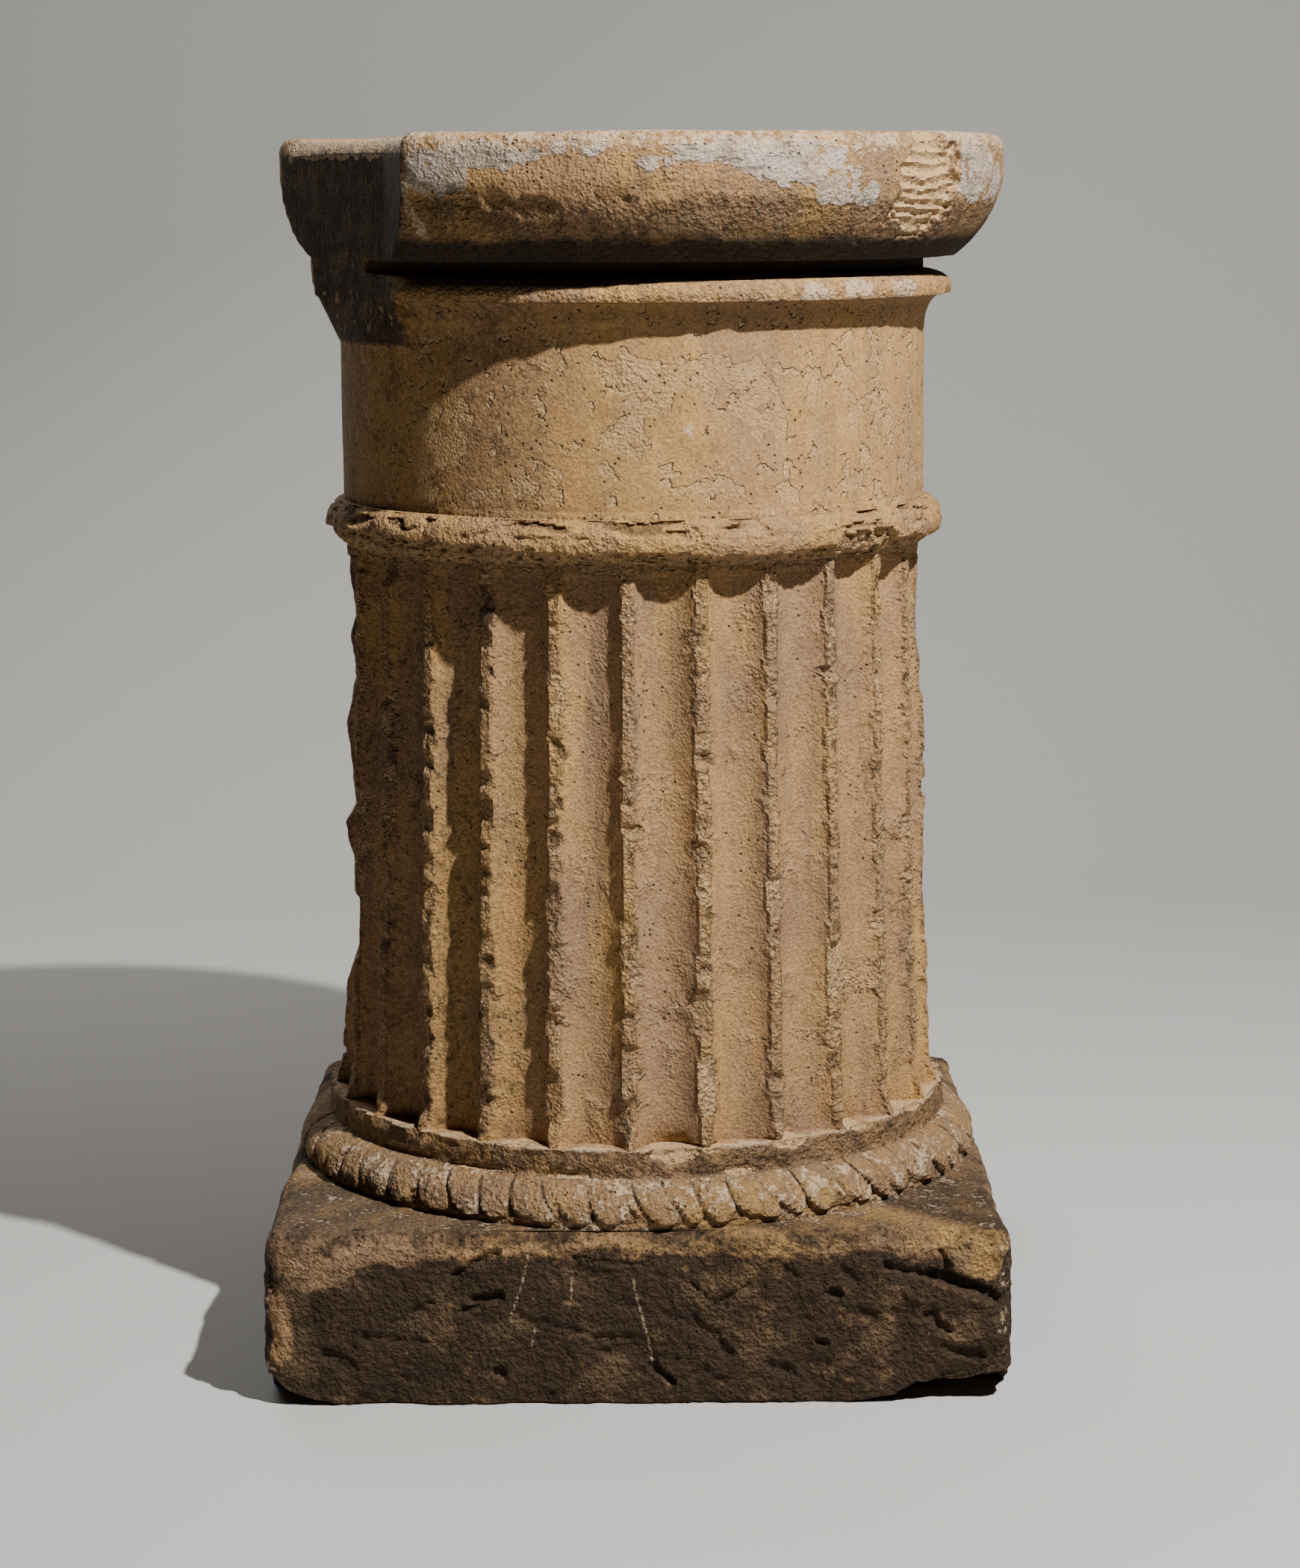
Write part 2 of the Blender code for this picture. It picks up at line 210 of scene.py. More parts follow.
def column_profile(sizes, courses):
    """The whole outline. Row counts follow how much each course shows."""
    profile = Profile(0.0, sizes.top)
    profile.line(sizes.neck_radius, sizes.top, 3)
    profile.line(sizes.slab_radius - sizes.slab_wear, sizes.top, 4)
    profile.mark("cap")
    profile.quarter(sizes.slab_radius, sizes.top - sizes.slab_wear, 4, True)
    profile.mark("slab")
    profile.line(sizes.slab_radius, courses.slab_foot, 8)
    profile.mark("echinus")
    profile.arc(sizes.echinus_radius, courses.echinus_foot, 6.4 * MM, 18)
    profile.mark("groove")
    profile.line(sizes.groove_radius, courses.echinus_foot, 3)
    profile.line(sizes.groove_radius, courses.groove_foot + 4 * MM, 2)
    profile.quarter(sizes.band_radius, courses.band_foot + BAND_EDGE, 6, True)
    profile.mark("band")
    profile.line(sizes.band_radius - 0.5 * MM, courses.band_foot, 3)
    profile.mark("cavetto")
    profile.line(sizes.band_radius - 7 * MM, courses.band_foot - 1 * MM, 2)
    profile.quarter(sizes.neck_radius, courses.cavetto_foot + 9 * MM, 6, True)
    profile.line(sizes.neck_radius, courses.cavetto_foot, 2)
    profile.mark("neck")
    profile.line(sizes.neck_radius, courses.neck_foot, 22)
    profile.mark("ring")
    middle = (courses.neck_foot + courses.ring_foot) / 2
    profile.quarter(sizes.ring_radius, middle, 6, True)
    profile.mark("ring middle")
    profile.quarter(sizes.shaft_top_radius, courses.ring_foot, 6, False)
    profile.mark("shaft")
    profile.line(sizes.shaft_foot_radius, courses.shaft_foot, 47)
    profile.mark("ledge")
    profile.line(sizes.fillet_radius, courses.shaft_foot, 3)
    profile.mark("fillet")
    profile.line(sizes.fillet_radius, courses.fillet_foot, 5)
    profile.mark("leaves")
    profile.arc(sizes.leaf_radius, courses.leaf_foot, 6 * MM, 12)
    profile.mark("strip")
    profile.line(sizes.leaf_radius - 3 * MM, courses.leaf_foot, 1)
    profile.line(sizes.leaf_radius - 3 * MM, sizes.plinth_height, 2)
    profile.mark("plinth top")
    half = sizes.plinth_width / 2
    profile.line(half - sizes.plinth_wear, sizes.plinth_height, 3)
    profile.mark("plinth edge")
    profile.quarter(half, sizes.plinth_height - sizes.plinth_wear, 3, True)
    profile.mark("plinth side")
    profile.line(half, 2 * MM, 23)
    profile.line(half - 2 * MM, 0.0, 1)
    profile.mark("underside")
    profile.line(0.0, 0.0, 2)
    profile.mark("end")
    return profile


# Where the grid is split finer: marks from and to, degrees from and to, how near an arris as a
# share of a flute, and what is split in turn
FINER_ZONES = (
    ("slab", "groove", -104, 92, 1.0, ("columns",)),
    ("slab", "groove", 36, 62, 1.0, ("columns", "rows")),
    ("cap", "slab", -104, -34, 1.0, ("columns",)),
    ("groove", "neck", -104, -30, 1.0, ("columns",)),
    ("ring", "shaft", -92, 92, 1.0, ("rows", "columns")),
    ("shaft", "ledge", -92, 92, 0.12, ("rows", "rows")),
    ("shaft", "ledge", -86, 86, 0.12, ("columns",)),
    ("shaft", "ledge", 92, 268, 0.12, ("rows",)),
    ("ledge", "leaves", -90, 90, 1.0, ("columns", "rows")),
    ("leaves", "plinth top", -90, 90, 1.0, ("columns", "columns")),
    ("plinth top", "underside", -46, 46, 1.0, ("columns", "columns", "rows")),
)


# Azimuth of the arris nearest the front, in degrees
ARRIS_TURN = -1.3


def in_flutes(azimuth, sizes):
    """Azimuth counted in flutes from the arris nearest the front. Arrises are at whole numbers."""
    return (azimuth - math.radians(ARRIS_TURN)) * sizes.flutes / (2 * math.pi)


def column_azimuths(sizes):
    """Azimuth of each column of the grid, from just left of the back round to it, closer at the arrises."""
    flute = 2 * math.pi / sizes.flutes
    edge = sizes.arris_width / 2 / sizes.shaft_foot_radius
    azimuths = []
    for number in range(sizes.flutes):
        start = math.radians(ARRIS_TURN) - math.pi + number * flute
        at_front = abs(start + flute / 2) < math.pi / 2
        inner = (FRONT_FLUTE_COLUMNS if at_front else BACK_FLUTE_COLUMNS) - 2
        azimuths.append(start)
        for step in range(inner + 1):
            share = step / inner
            share -= 0.35 * math.sin(2 * math.pi * share) / (2 * math.pi)
            azimuths.append(start + edge + (flute - 2 * edge) * share)
    azimuths.append(azimuths[0] + 2 * math.pi)
    return np.array(azimuths)


def turned_grid(profile, columns):
    """The profile turned into a closed grid, whose vertices know their row as a number."""
    bm = bmesh.new()
    row_of = bm.verts.layers.float.new("row")
    chain = []
    for row, (radius, level) in enumerate(profile.rows):
        vert = bm.verts.new((0.0, radius, level))
        vert[row_of] = row
        chain.append(vert)
    edges = [bm.edges.new(pair) for pair in zip(chain, chain[1:])]
    bmesh.ops.spin(
        bm,
        geom=[*chain, *edges],
        cent=(0.0, 0.0, 0.0),
        axis=(0.0, 0.0, 1.0),
        angle=2 * math.pi,
        steps=columns,
        use_merge=True,
    )
    poles = [vert for vert in bm.verts if math.hypot(vert.co.x, vert.co.y) < 1e-6]
    bmesh.ops.remove_doubles(bm, verts=poles, dist=1e-5)
    bmesh.ops.recalc_face_normals(bm, faces=bm.faces)
    return bm


def grid_column(point, steps):
    """Number of the grid's column that a point lies in, with fractions between two."""
    return (math.atan2(point.x, -point.y) / (2 * math.pi) + 0.5) * steps


def split_zone(bm, profile, sizes, columns, zone):
    """Splits the grid in one zone into more columns or more rows."""
    first, last, start, end, arris_reach, ways = zone
    row_of = bm.verts.layers.float["row"]
    low, high = profile.marks[first], profile.marks[last]
    steps = len(columns) - 1
    numbers = np.arange(steps + 1)
    for way in ways:
        edges = []
        for face in bm.faces:
            row = sum(vert[row_of] for vert in face.verts) / len(face.verts)
            if not low < row < high:
                continue
            azimuth = np.interp(grid_column(face.calc_center_median(), steps), numbers, columns)
            if (math.degrees(azimuth) - start) % 360 > end - start:
                continue
            turns = in_flutes(azimuth, sizes)
            if abs(turns - round(turns)) <= arris_reach:
                edges += [edge for edge in face.edges if splits(edge, row_of, steps, way)]
        # Each edge once, and in the same order every time
        edges = list(dict.fromkeys(edges))
        bmesh.ops.subdivide_edges(bm, edges=edges, cuts=1, use_grid_fill=True, use_single_edge=True)


def splits(edge, row_of, steps, way):
    """Whether an edge is halved to make more columns, or more rows."""
    first, second = edge.verts
    level = abs(first[row_of] - second[row_of]) < NEAR_ROW
    if way == "columns":
        return level
    off = abs(grid_column(first.co, steps) - grid_column(second.co, steps))
    return not level and min(off, steps - off) < NEAR_COLUMN


def smooth_step(low, high, values):
    """0 at low and 1 at high, with a soft start and end."""
    share = np.clip((values - low) / (high - low), 0.0, 1.0)
    return share * share * (3 - 2 * share)


def mixed(first, second, share):
    """The way from the first value to the second, by a share from 0 to 1."""
    return first + (second - first) * share


class Stone:
    """The column's surface as arrays: row, azimuth, radius and level of each vertex, and its stains."""

    def __init__(self, sizes, courses, profile, mesh, columns):
        self.sizes = sizes
        self.courses = courses
        self.marks = profile.marks
        self.columns = columns
        count = len(mesh.vertices)
        points = np.empty(count * 3)
        mesh.vertices.foreach_get("co", points)
        points = points.reshape(-1, 3)
        self.row = np.empty(count)
        mesh.attributes["row"].data.foreach_get("value", self.row)
        steps = len(columns) - 1
        self.column = (np.arctan2(points[:, 0], -points[:, 1]) / (2 * math.pi) + 0.5) * steps
        self.azimuth = np.interp(self.column, np.arange(steps + 1), columns)
        rows = np.arange(len(profile.rows))
        self.radius = np.interp(self.row, rows, [radius for radius, level in profile.rows])
        self.level = np.interp(self.row, rows, [level for radius, level in profile.rows])
        self.x = np.zeros(count)
        self.y = np.zeros(count)
        self.hollow = np.zeros(count)
        self.stains = {name: np.zeros(count) for name in STAINS}
        # The raggedness of all edges of chips and stains
        self.jagged = 0.30 * self.noise(12 * MM, 3) + 0.18 * self.noise(5 * MM, 9)
        self.jagged += 0.22 * self.noise(30 * MM, 10)

    def between(self, first, last):
        """Which vertices lie from one mark's row to another's."""
        return self.between_rows(self.marks[first], self.marks[last])

    def between_rows(self, first, last):
        return (self.row >= first - NEAR_ROW) & (self.row <= last + NEAR_ROW)

    def share(self, first, last):
        """How far down each vertex is from one mark's row to another's, 0 to 1."""
        start, end = self.marks[first], self.marks[last]
        return np.clip((self.row - start) / (end - start), 0.0, 1.0)

    def degrees(self):
        """Azimuth in degrees, from -180 to 180."""
        return (np.degrees(self.azimuth) + 180) % 360 - 180

    def noise(self, size, seed, stretch=1.0):
        """Smooth noise from about -1 to 1, with features of this size, stretched upright by a factor."""
        x = self.radius * np.sin(self.azimuth) / size + seed * 7.3
        y = -self.radius * np.cos(self.azimuth) / size + seed * 3.1
        z = self.level / (size * stretch) + seed * 11.7
        return np.array([noise.noise(Vector(point)) for point in zip(x, y, z)])

    def patch(self, azimuth, level, wide, high, edge=0.15):
        """1 in a ragged patch and 0 outside it. Its half width and half height are in mm."""
        off = (self.degrees() - azimuth + 180) % 360 - 180
        across = np.abs(np.radians(off) * self.radius / (wide * MM))
        up = np.abs((self.level - level) / (high * MM))
        away = np.hypot(across, up) + self.jagged
        return smooth_step(1 + edge, 1 - edge, away)

    def fade(self, start, full, ragged=0.0):
        """0 at one level and 1 at another, with an edge this ragged."""
        return smooth_step(start, full, self.level + ragged * self.jagged)

    def stain(self, name, share):
        """Stains each vertex at least this much."""
        self.stains[name] = np.maximum(self.stains[name], share)

    def stain_patches(self, name, patches):
        """Stains patches given as azimuth, level, half width, half height and strength."""
        for azimuth, level, wide, high, strength in patches:
            self.stain(name, strength * self.patch(azimuth, level, wide, high, 0.6))

    def dent(self, dents, first, last, stain=None):
        """Breaks pieces off a course, given as azimuth, level, half width, half height and depth in mm."""
        rows = self.between(first, last)
        for azimuth, level, wide, high, depth in dents:
            share = self.patch(azimuth, level, wide, high) * rows
            self.radius = self.radius - share * depth * MM
            if stain:
                self.stain(stain, share * 0.8)

    def place(self):
        """Turns radius and azimuth into X and Y."""
        self.x = self.radius * np.sin(self.azimuth)
        self.y = -self.radius * np.cos(self.azimuth)


# What the surface carries besides its shape, each from 0 to 1, and one stain that is painted shade in
# recesses and under overhangs
STAINS = ("fresh", "pale", "lime", "brown", "rough", "skin", "flake", "streaks", "dark", "scratch")


# Losses on the arrises, chosen one by one: number of the arris, level, height and depth in mm, and how pale
ARRIS_CHIPS = (
    (0, 0.458, 10, 3.0, 0.0),
    (0, 0.3105, 13, 4.0, 0.0),
    (0, 0.277, 11, 3.0, 0.2),
    (0, 0.247, 30, 4.5, 0.0),
    (0, 0.206, 30, 5.0, 0.3),
    (1, 0.485, 15, 3.0, 0.2),
    (1, 0.403, 14, 4.0, 0.0),
    (1, 0.380, 30, 2.5, 0.4),
    (1, 0.284, 20, 5.5, 0.0),
    (1, 0.225, 50, 3.0, 0.6),
    (2, 0.589, 25, 4.0, 0.5),
    (2, 0.511, 11, 3.5, 0.0),
    (2, 0.474, 18, 2.5, 0.4),
    (2, 0.366, 28, 4.5, 0.4),
    (2, 0.3355, 9, 3.0, 0.0),
    (3, 0.3005, 52, 6.0, 1.0),
    (3, 0.257, 26, 3.0, 0.3),
    (4, 0.555, 25, 2.5, 0.3),
    (4, 0.5186, 12, 4.0, 1.0),
    (4, 0.350, 60, 2.0, 0.2),
    (5, 0.397, 26, 5.0, 0.2),
    (5, 0.3605, 10, 3.5, 0.0),
    (5, 0.3466, 14, 3.0, 0.0),
    (5, 0.2766, 14, 3.0, 0.3),
    (-1, 0.520, 40, 3.0, 0.2),
    (-1, 0.362, 30, 4.0, 0.0),
    (-1, 0.315, 42, 2.8, 0.3),
    (-1, 0.270, 26, 3.5, 0.5),
    (-1, 0.220, 40, 4.0, 0.2),
    (-2, 0.430, 18, 5.0, 0.2),
    (-2, 0.330, 20, 2.5, 0.0),
    (-2, 0.215, 22, 3.5, 0.2),
    (-3, 0.492, 12, 2.5, 0.0),
    (-3, 0.4165, 20, 4.5, 0.1),
    (-3, 0.250, 22, 3.5, 0.0),
    (-3, 0.200, 18, 3.5, 0.0),
    (-4, 0.440, 110, 4.5, 0.0),
    (-4, 0.354, 50, 3.0, 0.0),
    (-5, 0.400, 60, 5.0, 0.0),
    (-5, 0.320, 60, 5.0, 0.0),
)
# The main bites in the badly worn left side, chosen one by one: level, and mm below the shaft's surface
LEFT_WEAR = (
    (0.610, 0.0),
    (0.555, 8.5),
    (0.538, 4.5),
    (0.508, 9.5),
    (0.470, 2.0),
    (0.405, 10.0),
    (0.390, 1.5),
    (0.340, 13.0),
    (0.290, 13.0),
    (0.264, 3.5),
    (0.190, 0.0),
)
# The same on the right side
RIGHT_WEAR = (
    (0.610, 2.0),
    (0.565, 5.0),
    (0.535, 6.0),
    (0.517, 3.0),
    (0.497, 4.5),
    (0.488, 1.0),
    (0.423, 0.0),
    (0.330, 4.5),
    (0.304, 0.5),
    (0.267, 1.5),
    (0.182, 0.0),
)


# Azimuths of the left and right outline seen from the front, where the wear listed above is shown
WORN_SIDES = ((-91.0, LEFT_WEAR), (88.0, RIGHT_WEAR))
# The number of small random chips on an arris: those within FRONT_ARRISES of the front have chosen ones too
FRONT_ARRISES = 5
FRONT_CHIPS = 6
BACK_CHIPS = 8
CHIP_SEED = 26


def random_chips(stone):
    """Small chips on all arrises, in the same terms as the chosen ones."""
    draws = np.random.default_rng(CHIP_SEED)
    low, high = stone.courses.shaft_foot + 10 * MM, stone.courses.ring_foot - 10 * MM
    half = stone.sizes.flutes // 2
    chips = []
    for arris in range(-half, half + 1):
        for _ in range(FRONT_CHIPS if abs(arris) <= FRONT_ARRISES else BACK_CHIPS):
            level = draws.uniform(low, high)
            height, depth, paleness = draws.uniform(5, 18), draws.uniform(1.5, 4.6), draws.uniform(0.0, 0.5)
            chips.append((arris, level, height, depth, paleness))
    return chips


def arris_wear(stone):
    """How far the arrises are worn and chipped below the shaft's surface, and how pale the chips are."""
    sizes = stone.sizes
    turns = in_flutes(stone.azimuth, sizes)
    number = np.round(turns)
    across = (turns - number) * 2 * math.pi / sizes.flutes * sizes.shaft_foot_radius / MM
    # In mm: an even loss, fine grain, deeper lumps and a slow swell
    grain = np.abs(stone.noise(3.4 * MM, 1))
    lumps = np.maximum(stone.noise(13 * MM, 6) - 0.12, 0.0)
    wear = 0.4 + 1.6 * grain + 7.0 * lumps + 0.8 * stone.noise(40 * MM, 2)
    stone.hollow = smooth_step(1.4, 3.6, wear)
    pale = np.zeros(len(wear))
    for arris, level, height, depth, paleness in [*ARRIS_CHIPS, *random_chips(stone)]:
        away = np.abs(stone.level - level) / (height * MM / 2)
        near = (number == arris) | (number == arris - sizes.flutes)
        shape = np.clip(1.1 - away + 1.1 * stone.jagged, 0.0, 1.0) * near
        # Each chip leans to one side of its arris
        tilt = 1 + 0.07 * across * math.copysign(1.0, math.sin(level * 900))
        wear = np.maximum(wear, (depth + 0.8 * grain) * smooth_step(0.0, 0.45, shape) * tilt)
        pale = np.maximum(pale, paleness * smooth_step(0.1, 0.4, shape))
    degrees = stone.degrees()
    for centre, worn in WORN_SIDES:
        levels, depths = zip(*reversed(worn))
        reach = smooth_step(22.0, 12.0, np.abs(degrees - centre))
        deep = np.interp(stone.level, levels, depths) + 3 * stone.jagged
        wear = np.maximum(wear, deep * reach)
    return wear * MM, pale


def flute_section(sizes, straight, off):
    """Radius of a flute's hollow, round in section, at these azimuths off its middle."""
    width = 2 * straight * math.sin(math.pi / sizes.flutes) - sizes.arris_width
    arc = width**2 / (8 * sizes.flute_depth) + sizes.flute_depth / 2
    centre = straight - sizes.flute_depth + arc
    side = centre * np.sin(off)
    hollow = centre * np.cos(off) - np.sqrt(np.maximum(arc**2 - side**2, 0.0))
    return np.where(np.abs(side) < arc, hollow, BEYOND)


def carve_flutes(stone):
    """Sinks the flutes and wears the arrises between them."""
    sizes = stone.sizes
    turns = in_flutes(stone.azimuth, sizes)
    off = (turns - np.floor(turns) - 0.5) * 2 * math.pi / sizes.flutes
    # The flutes' sides waver a little, so that the arrises are ragged seen from the front too
    waver = (0.8 * stone.noise(6 * MM, 62) + 1.9 * stone.noise(24 * MM, 63)) * MM / sizes.shaft_foot_radius
    hollow = flute_section(sizes, stone.radius, off + waver)
    hollow += 0.25 * MM * stone.noise(16 * MM, 4, 2.0) + 0.5 * MM * stone.noise(60 * MM, 5, 1.5)
    flare_top = stone.courses.shaft_foot + sizes.shaft_flare_height
    rise = np.clip((flare_top - stone.level) / sizes.shaft_flare_height, 0.0, 1.0)
    wear, pale = arris_wear(stone)
    outer = stone.radius + sizes.shaft_flare * rise**2 - wear
    shaft = stone.between("shaft", "ledge")
    stone.radius = np.where(shaft, np.minimum(outer, hollow), stone.radius)
    on_arris = smooth_step(-1.2 * MM, 0.3 * MM, hollow - outer) * shaft
    stain_shaft(stone, shaft, on_arris, pale)
    # The flutes stand on a ledge, whose outer edge is the fillet's
    out = stone.share("ledge", "fillet")
    ledge = stone.between("ledge", "fillet")
    foot = flute_section(sizes, sizes.shaft_foot_radius, off)
    foot = np.minimum(sizes.shaft_foot_radius + sizes.shaft_flare - 1 * MM, foot)
    stone.radius = np.where(ledge, mixed(foot, sizes.fillet_radius, out), stone.radius)
    stone.stain("pale", 0.55 * smooth_step(0.1, 0.6, out) * ledge)


def stain_shaft(stone, shaft, on_arris, pale):
    """Rough, chipped arrises with painted shade in their bites, and tall brown streaks, duller at the left.
    """
    stone.stain("fresh", pale * on_arris)
    stone.stain("rough", mixed(0.04, 0.8, on_arris) * shaft)
    stone.stain("flake", 0.42 * on_arris)
    # Painted shade in the deeper bites of the arrises
    stone.stain("dark", 0.55 * on_arris * stone.hollow)
    tall = stone.noise(22 * MM, 73, 6.0) + 0.4 * stone.noise(9 * MM, 74, 3.0)
    dulled = 0.37 * smooth_step(5.0, -35.0, stone.degrees())
    stone.stain("brown", np.maximum(dulled, 0.30 * smooth_step(0.05, 0.5, tall)) * shaft)


# The groove under the echinus runs between these azimuths; elsewhere the stone is left full
GROOVE_START = -62.0
GROOVE_END = 165.0
# Half the turn over which it runs out at each end
GROOVE_RUN_OUT = 2.0


def stop_groove(stone):
    """Fills the groove at the left and at the back, where it wasn't cut."""
    degrees = stone.degrees()
    opens = smooth_step(GROOVE_START - GROOVE_RUN_OUT, GROOVE_START + GROOVE_RUN_OUT, degrees)
    closes = smooth_step(GROOVE_END + GROOVE_RUN_OUT, GROOVE_END - GROOVE_RUN_OUT, degrees)
    open_share = opens * closes
    rows = stone.between("groove", "band")
    down = stone.share("groove", "band")
    plain_radius = mixed(stone.sizes.echinus_radius, stone.sizes.band_radius, down)
    plain_level = mixed(stone.courses.echinus_foot, stone.courses.band_foot + BAND_EDGE, down)
    stone.radius = np.where(rows, mixed(plain_radius, stone.radius, open_share), stone.radius)
    stone.level = np.where(rows, mixed(plain_level, stone.level, open_share), stone.level)


# The flat cut at the capital's left front: its turn from the left, how far it runs, and its return's turn
CUT_TURN = math.radians(24.7)
CUT_STOP = 0.059
CUT_RETURN_TURN = math.radians(12.5)
# Azimuths between which the cut lies
CUT_SIDE = (-118, -25)
# A plane that faces an azimuth less than this isn't met there
GLANCING = 0.05
# Within this radius the rows on the cut move up by this share of its depth, to stay evenly spaced
CUT_SPREAD_RADIUS = 0.250
CUT_SPREAD = 0.3


def cut_reach(stone):
    """Distance from the axis to the cut, along each vertex's azimuth."""
    across = np.sin(stone.azimuth)
    front = -np.cos(stone.azimuth)
    touch = stone.sizes.neck_radius + 0.5 * MM
    facing = -math.cos(CUT_TURN) * across - math.sin(CUT_TURN) * front
    plane = np.where(facing > GLANCING, touch / np.maximum(facing, GLANCING), BEYOND)
    corner_x = -math.cos(CUT_TURN) * touch + math.sin(CUT_TURN) * CUT_STOP
    corner_y = -math.sin(CUT_TURN) * touch - math.cos(CUT_TURN) * CUT_STOP
    # The return's line holds the corner, and faces left
    side_x, side_y = -math.cos(CUT_RETURN_TURN), -math.sin(CUT_RETURN_TURN)
    offset = side_x * corner_x + side_y * corner_y
    facing_side = side_x * across + side_y * front
    wall = np.where(facing_side > GLANCING, offset / np.maximum(facing_side, GLANCING), BEYOND)
    corner_azimuth = math.degrees(math.atan2(corner_x, -corner_y))
    degrees = stone.degrees()
    return np.where(degrees < corner_azimuth, plane, np.maximum(plane, wall))


def cut_capital(stone):
    """Takes the flat cut off the capital, down to the cavetto's foot."""
    sizes = stone.sizes
    degrees = stone.degrees()
    side = (degrees > CUT_SIDE[0]) & (degrees < CUT_SIDE[1])
    reach = np.where(side, cut_reach(stone) + 0.6 * MM * stone.noise(10 * MM, 21), BEYOND)
    slab_row = stone.marks["slab"]
    body = (stone.row > slab_row) & (stone.row <= stone.marks["neck"])
    clamped = np.maximum(stone.radius - reach, 0.0)
    # Under the fillet the cut runs out in a slope down to the neck
    down = np.clip((stone.courses.band_foot - stone.level) / sizes.cavetto_height, 0.0, 1.0)
    slope = mixed(np.minimum(reach, sizes.band_radius), sizes.neck_radius, down)
    filled = smooth_step(0.0, 3 * MM, sizes.band_radius - reach) * stone.between("cavetto", "neck")
    on_cut = np.maximum(smooth_step(0.0, 0.5 * MM, clamped), filled * smooth_step(1.0, 0.9, down)) * body
    stone.stain("streaks", on_cut)
    # The cut's face is browned, partly as patina and partly as painted shade
    stone.stain("brown", 0.72 * on_cut)
    stone.stains["dark"] *= 1 - 0.7 * on_cut
    spread = np.maximum(np.minimum(stone.radius, CUT_SPREAD_RADIUS) - reach, 0.0)
    fade = np.clip((sizes.top - stone.level) / (sizes.top - stone.courses.echinus_foot), 0.0, 1.0)
    stone.level = np.where(body, stone.level + CUT_SPREAD * spread * fade, stone.level)
    stone.radius = np.where(body, stone.radius - clamped, stone.radius)
    stone.radius = mixed(stone.radius, np.maximum(stone.radius, slope), filled)
    # The top is drawn in to the cut, and its edge there is worn down
    cap = stone.between_rows(0, slab_row)
    stone.radius = np.where(cap, stone.radius * np.minimum(1.0, reach / sizes.slab_radius), stone.radius)
    worn = smooth_step(0.0, 20 * MM, sizes.slab_radius - np.minimum(reach, sizes.slab_radius)) * cap
    past_cap = stone.row - stone.marks["cap"]
    rim = np.clip(past_cap / (slab_row - stone.marks["cap"]), 0.0, 1.0)
    lowered = (2.5 + (3.5 + 9 * stone.jagged) * rim) * MM
    stone.level -= worn * lowered * smooth_step(-5.0, 0.0, past_cap)
    stone.radius -= worn * (1 - rim) * 5 * MM * (stone.row > 3)
    # The worn top edge by the cut is paled, partly as dust and partly as a painted highlight
    stone.stain("pale", worn * 0.9 * (past_cap > -2))


# Smooth grey skin left on the slab and the echinus: azimuth, level, half width, half height, strength
LIME_SKIN = (
    (-29, 0.893, 30, 18, 1.0),
    (-22, 0.902, 42, 12, 0.9),
    (-8, 0.907, 34, 8, 0.7),
    (3, 0.896, 18, 8, 0.6),
    (13, 0.905, 44, 10, 0.8),
    (22, 0.897, 40, 18, 1.0),
    (31, 0.884, 22, 20, 0.9),
    (37, 0.866, 14, 14, 0.8),
    (64, 0.890, 34, 26, 1.0),
    (73, 0.876, 30, 20, 0.9),
    (92, 0.892, 50, 22, 0.8),
    (109, 0.874, 30, 14, 0.8),
    (140, 0.896, 80, 16, 0.8),
    (178, 0.886, 60, 24, 0.8),
    (-140, 0.894, 90, 18, 0.8),
)
# Small losses on the slab and the echinus: azimuth, level, half width, half height and depth in mm
SLAB_DENTS = (
    (-34, 0.888, 6, 5, 1.8),
    (-25, 0.870, 8, 5, 2.2),
    (-20, 0.872, 7, 6, 2.0),
    (-31, 0.874, 9, 7, 1.6),
    (-14, 0.866, 16, 6, 1.4),
    (-3, 0.871, 14, 5, 1.5),
    (9, 0.868, 20, 6, 1.3),
    (24, 0.866, 22, 6, 1.6),
    (14, 0.914, 9, 3, 1.4),
    (-9, 0.915, 13, 3, 1.6),
    (70, 0.905, 10, 6, 1.6),
    (78, 0.912, 8, 6, 2.5),
    (112, 0.900, 20, 14, 3.0),
    (-150, 0.905, 26, 12, 3.5),
    (165, 0.880, 18, 12, 2.5),
)
# The fresh break on the slab's right front: azimuth, level, half width, half height and depth in mm
FRESH_BREAK = (49.5, 0.880, 38, 36, 4.2)
# Its straight left edge, in degrees, and the wavy ridges that it left
BREAK_EDGE = (41.2, 42.0)
RIDGE_STEP = 8.0 * MM
RIDGE_DEPTH = 2.7 * MM
# Pale places at the right end of the capital's fillet, and on the broken upright edge beside the cut
PALE_PLACES = (
    (33, 0.806, 14, 8, 0.9),
    (42, 0.808, 16, 7, 1.0),
    (55, 0.806, 18, 7, 0.9),
    (-34.5, 0.872, 4, 30, 0.7),
    (-33.5, 0.852, 5, 10, 0.7),
)


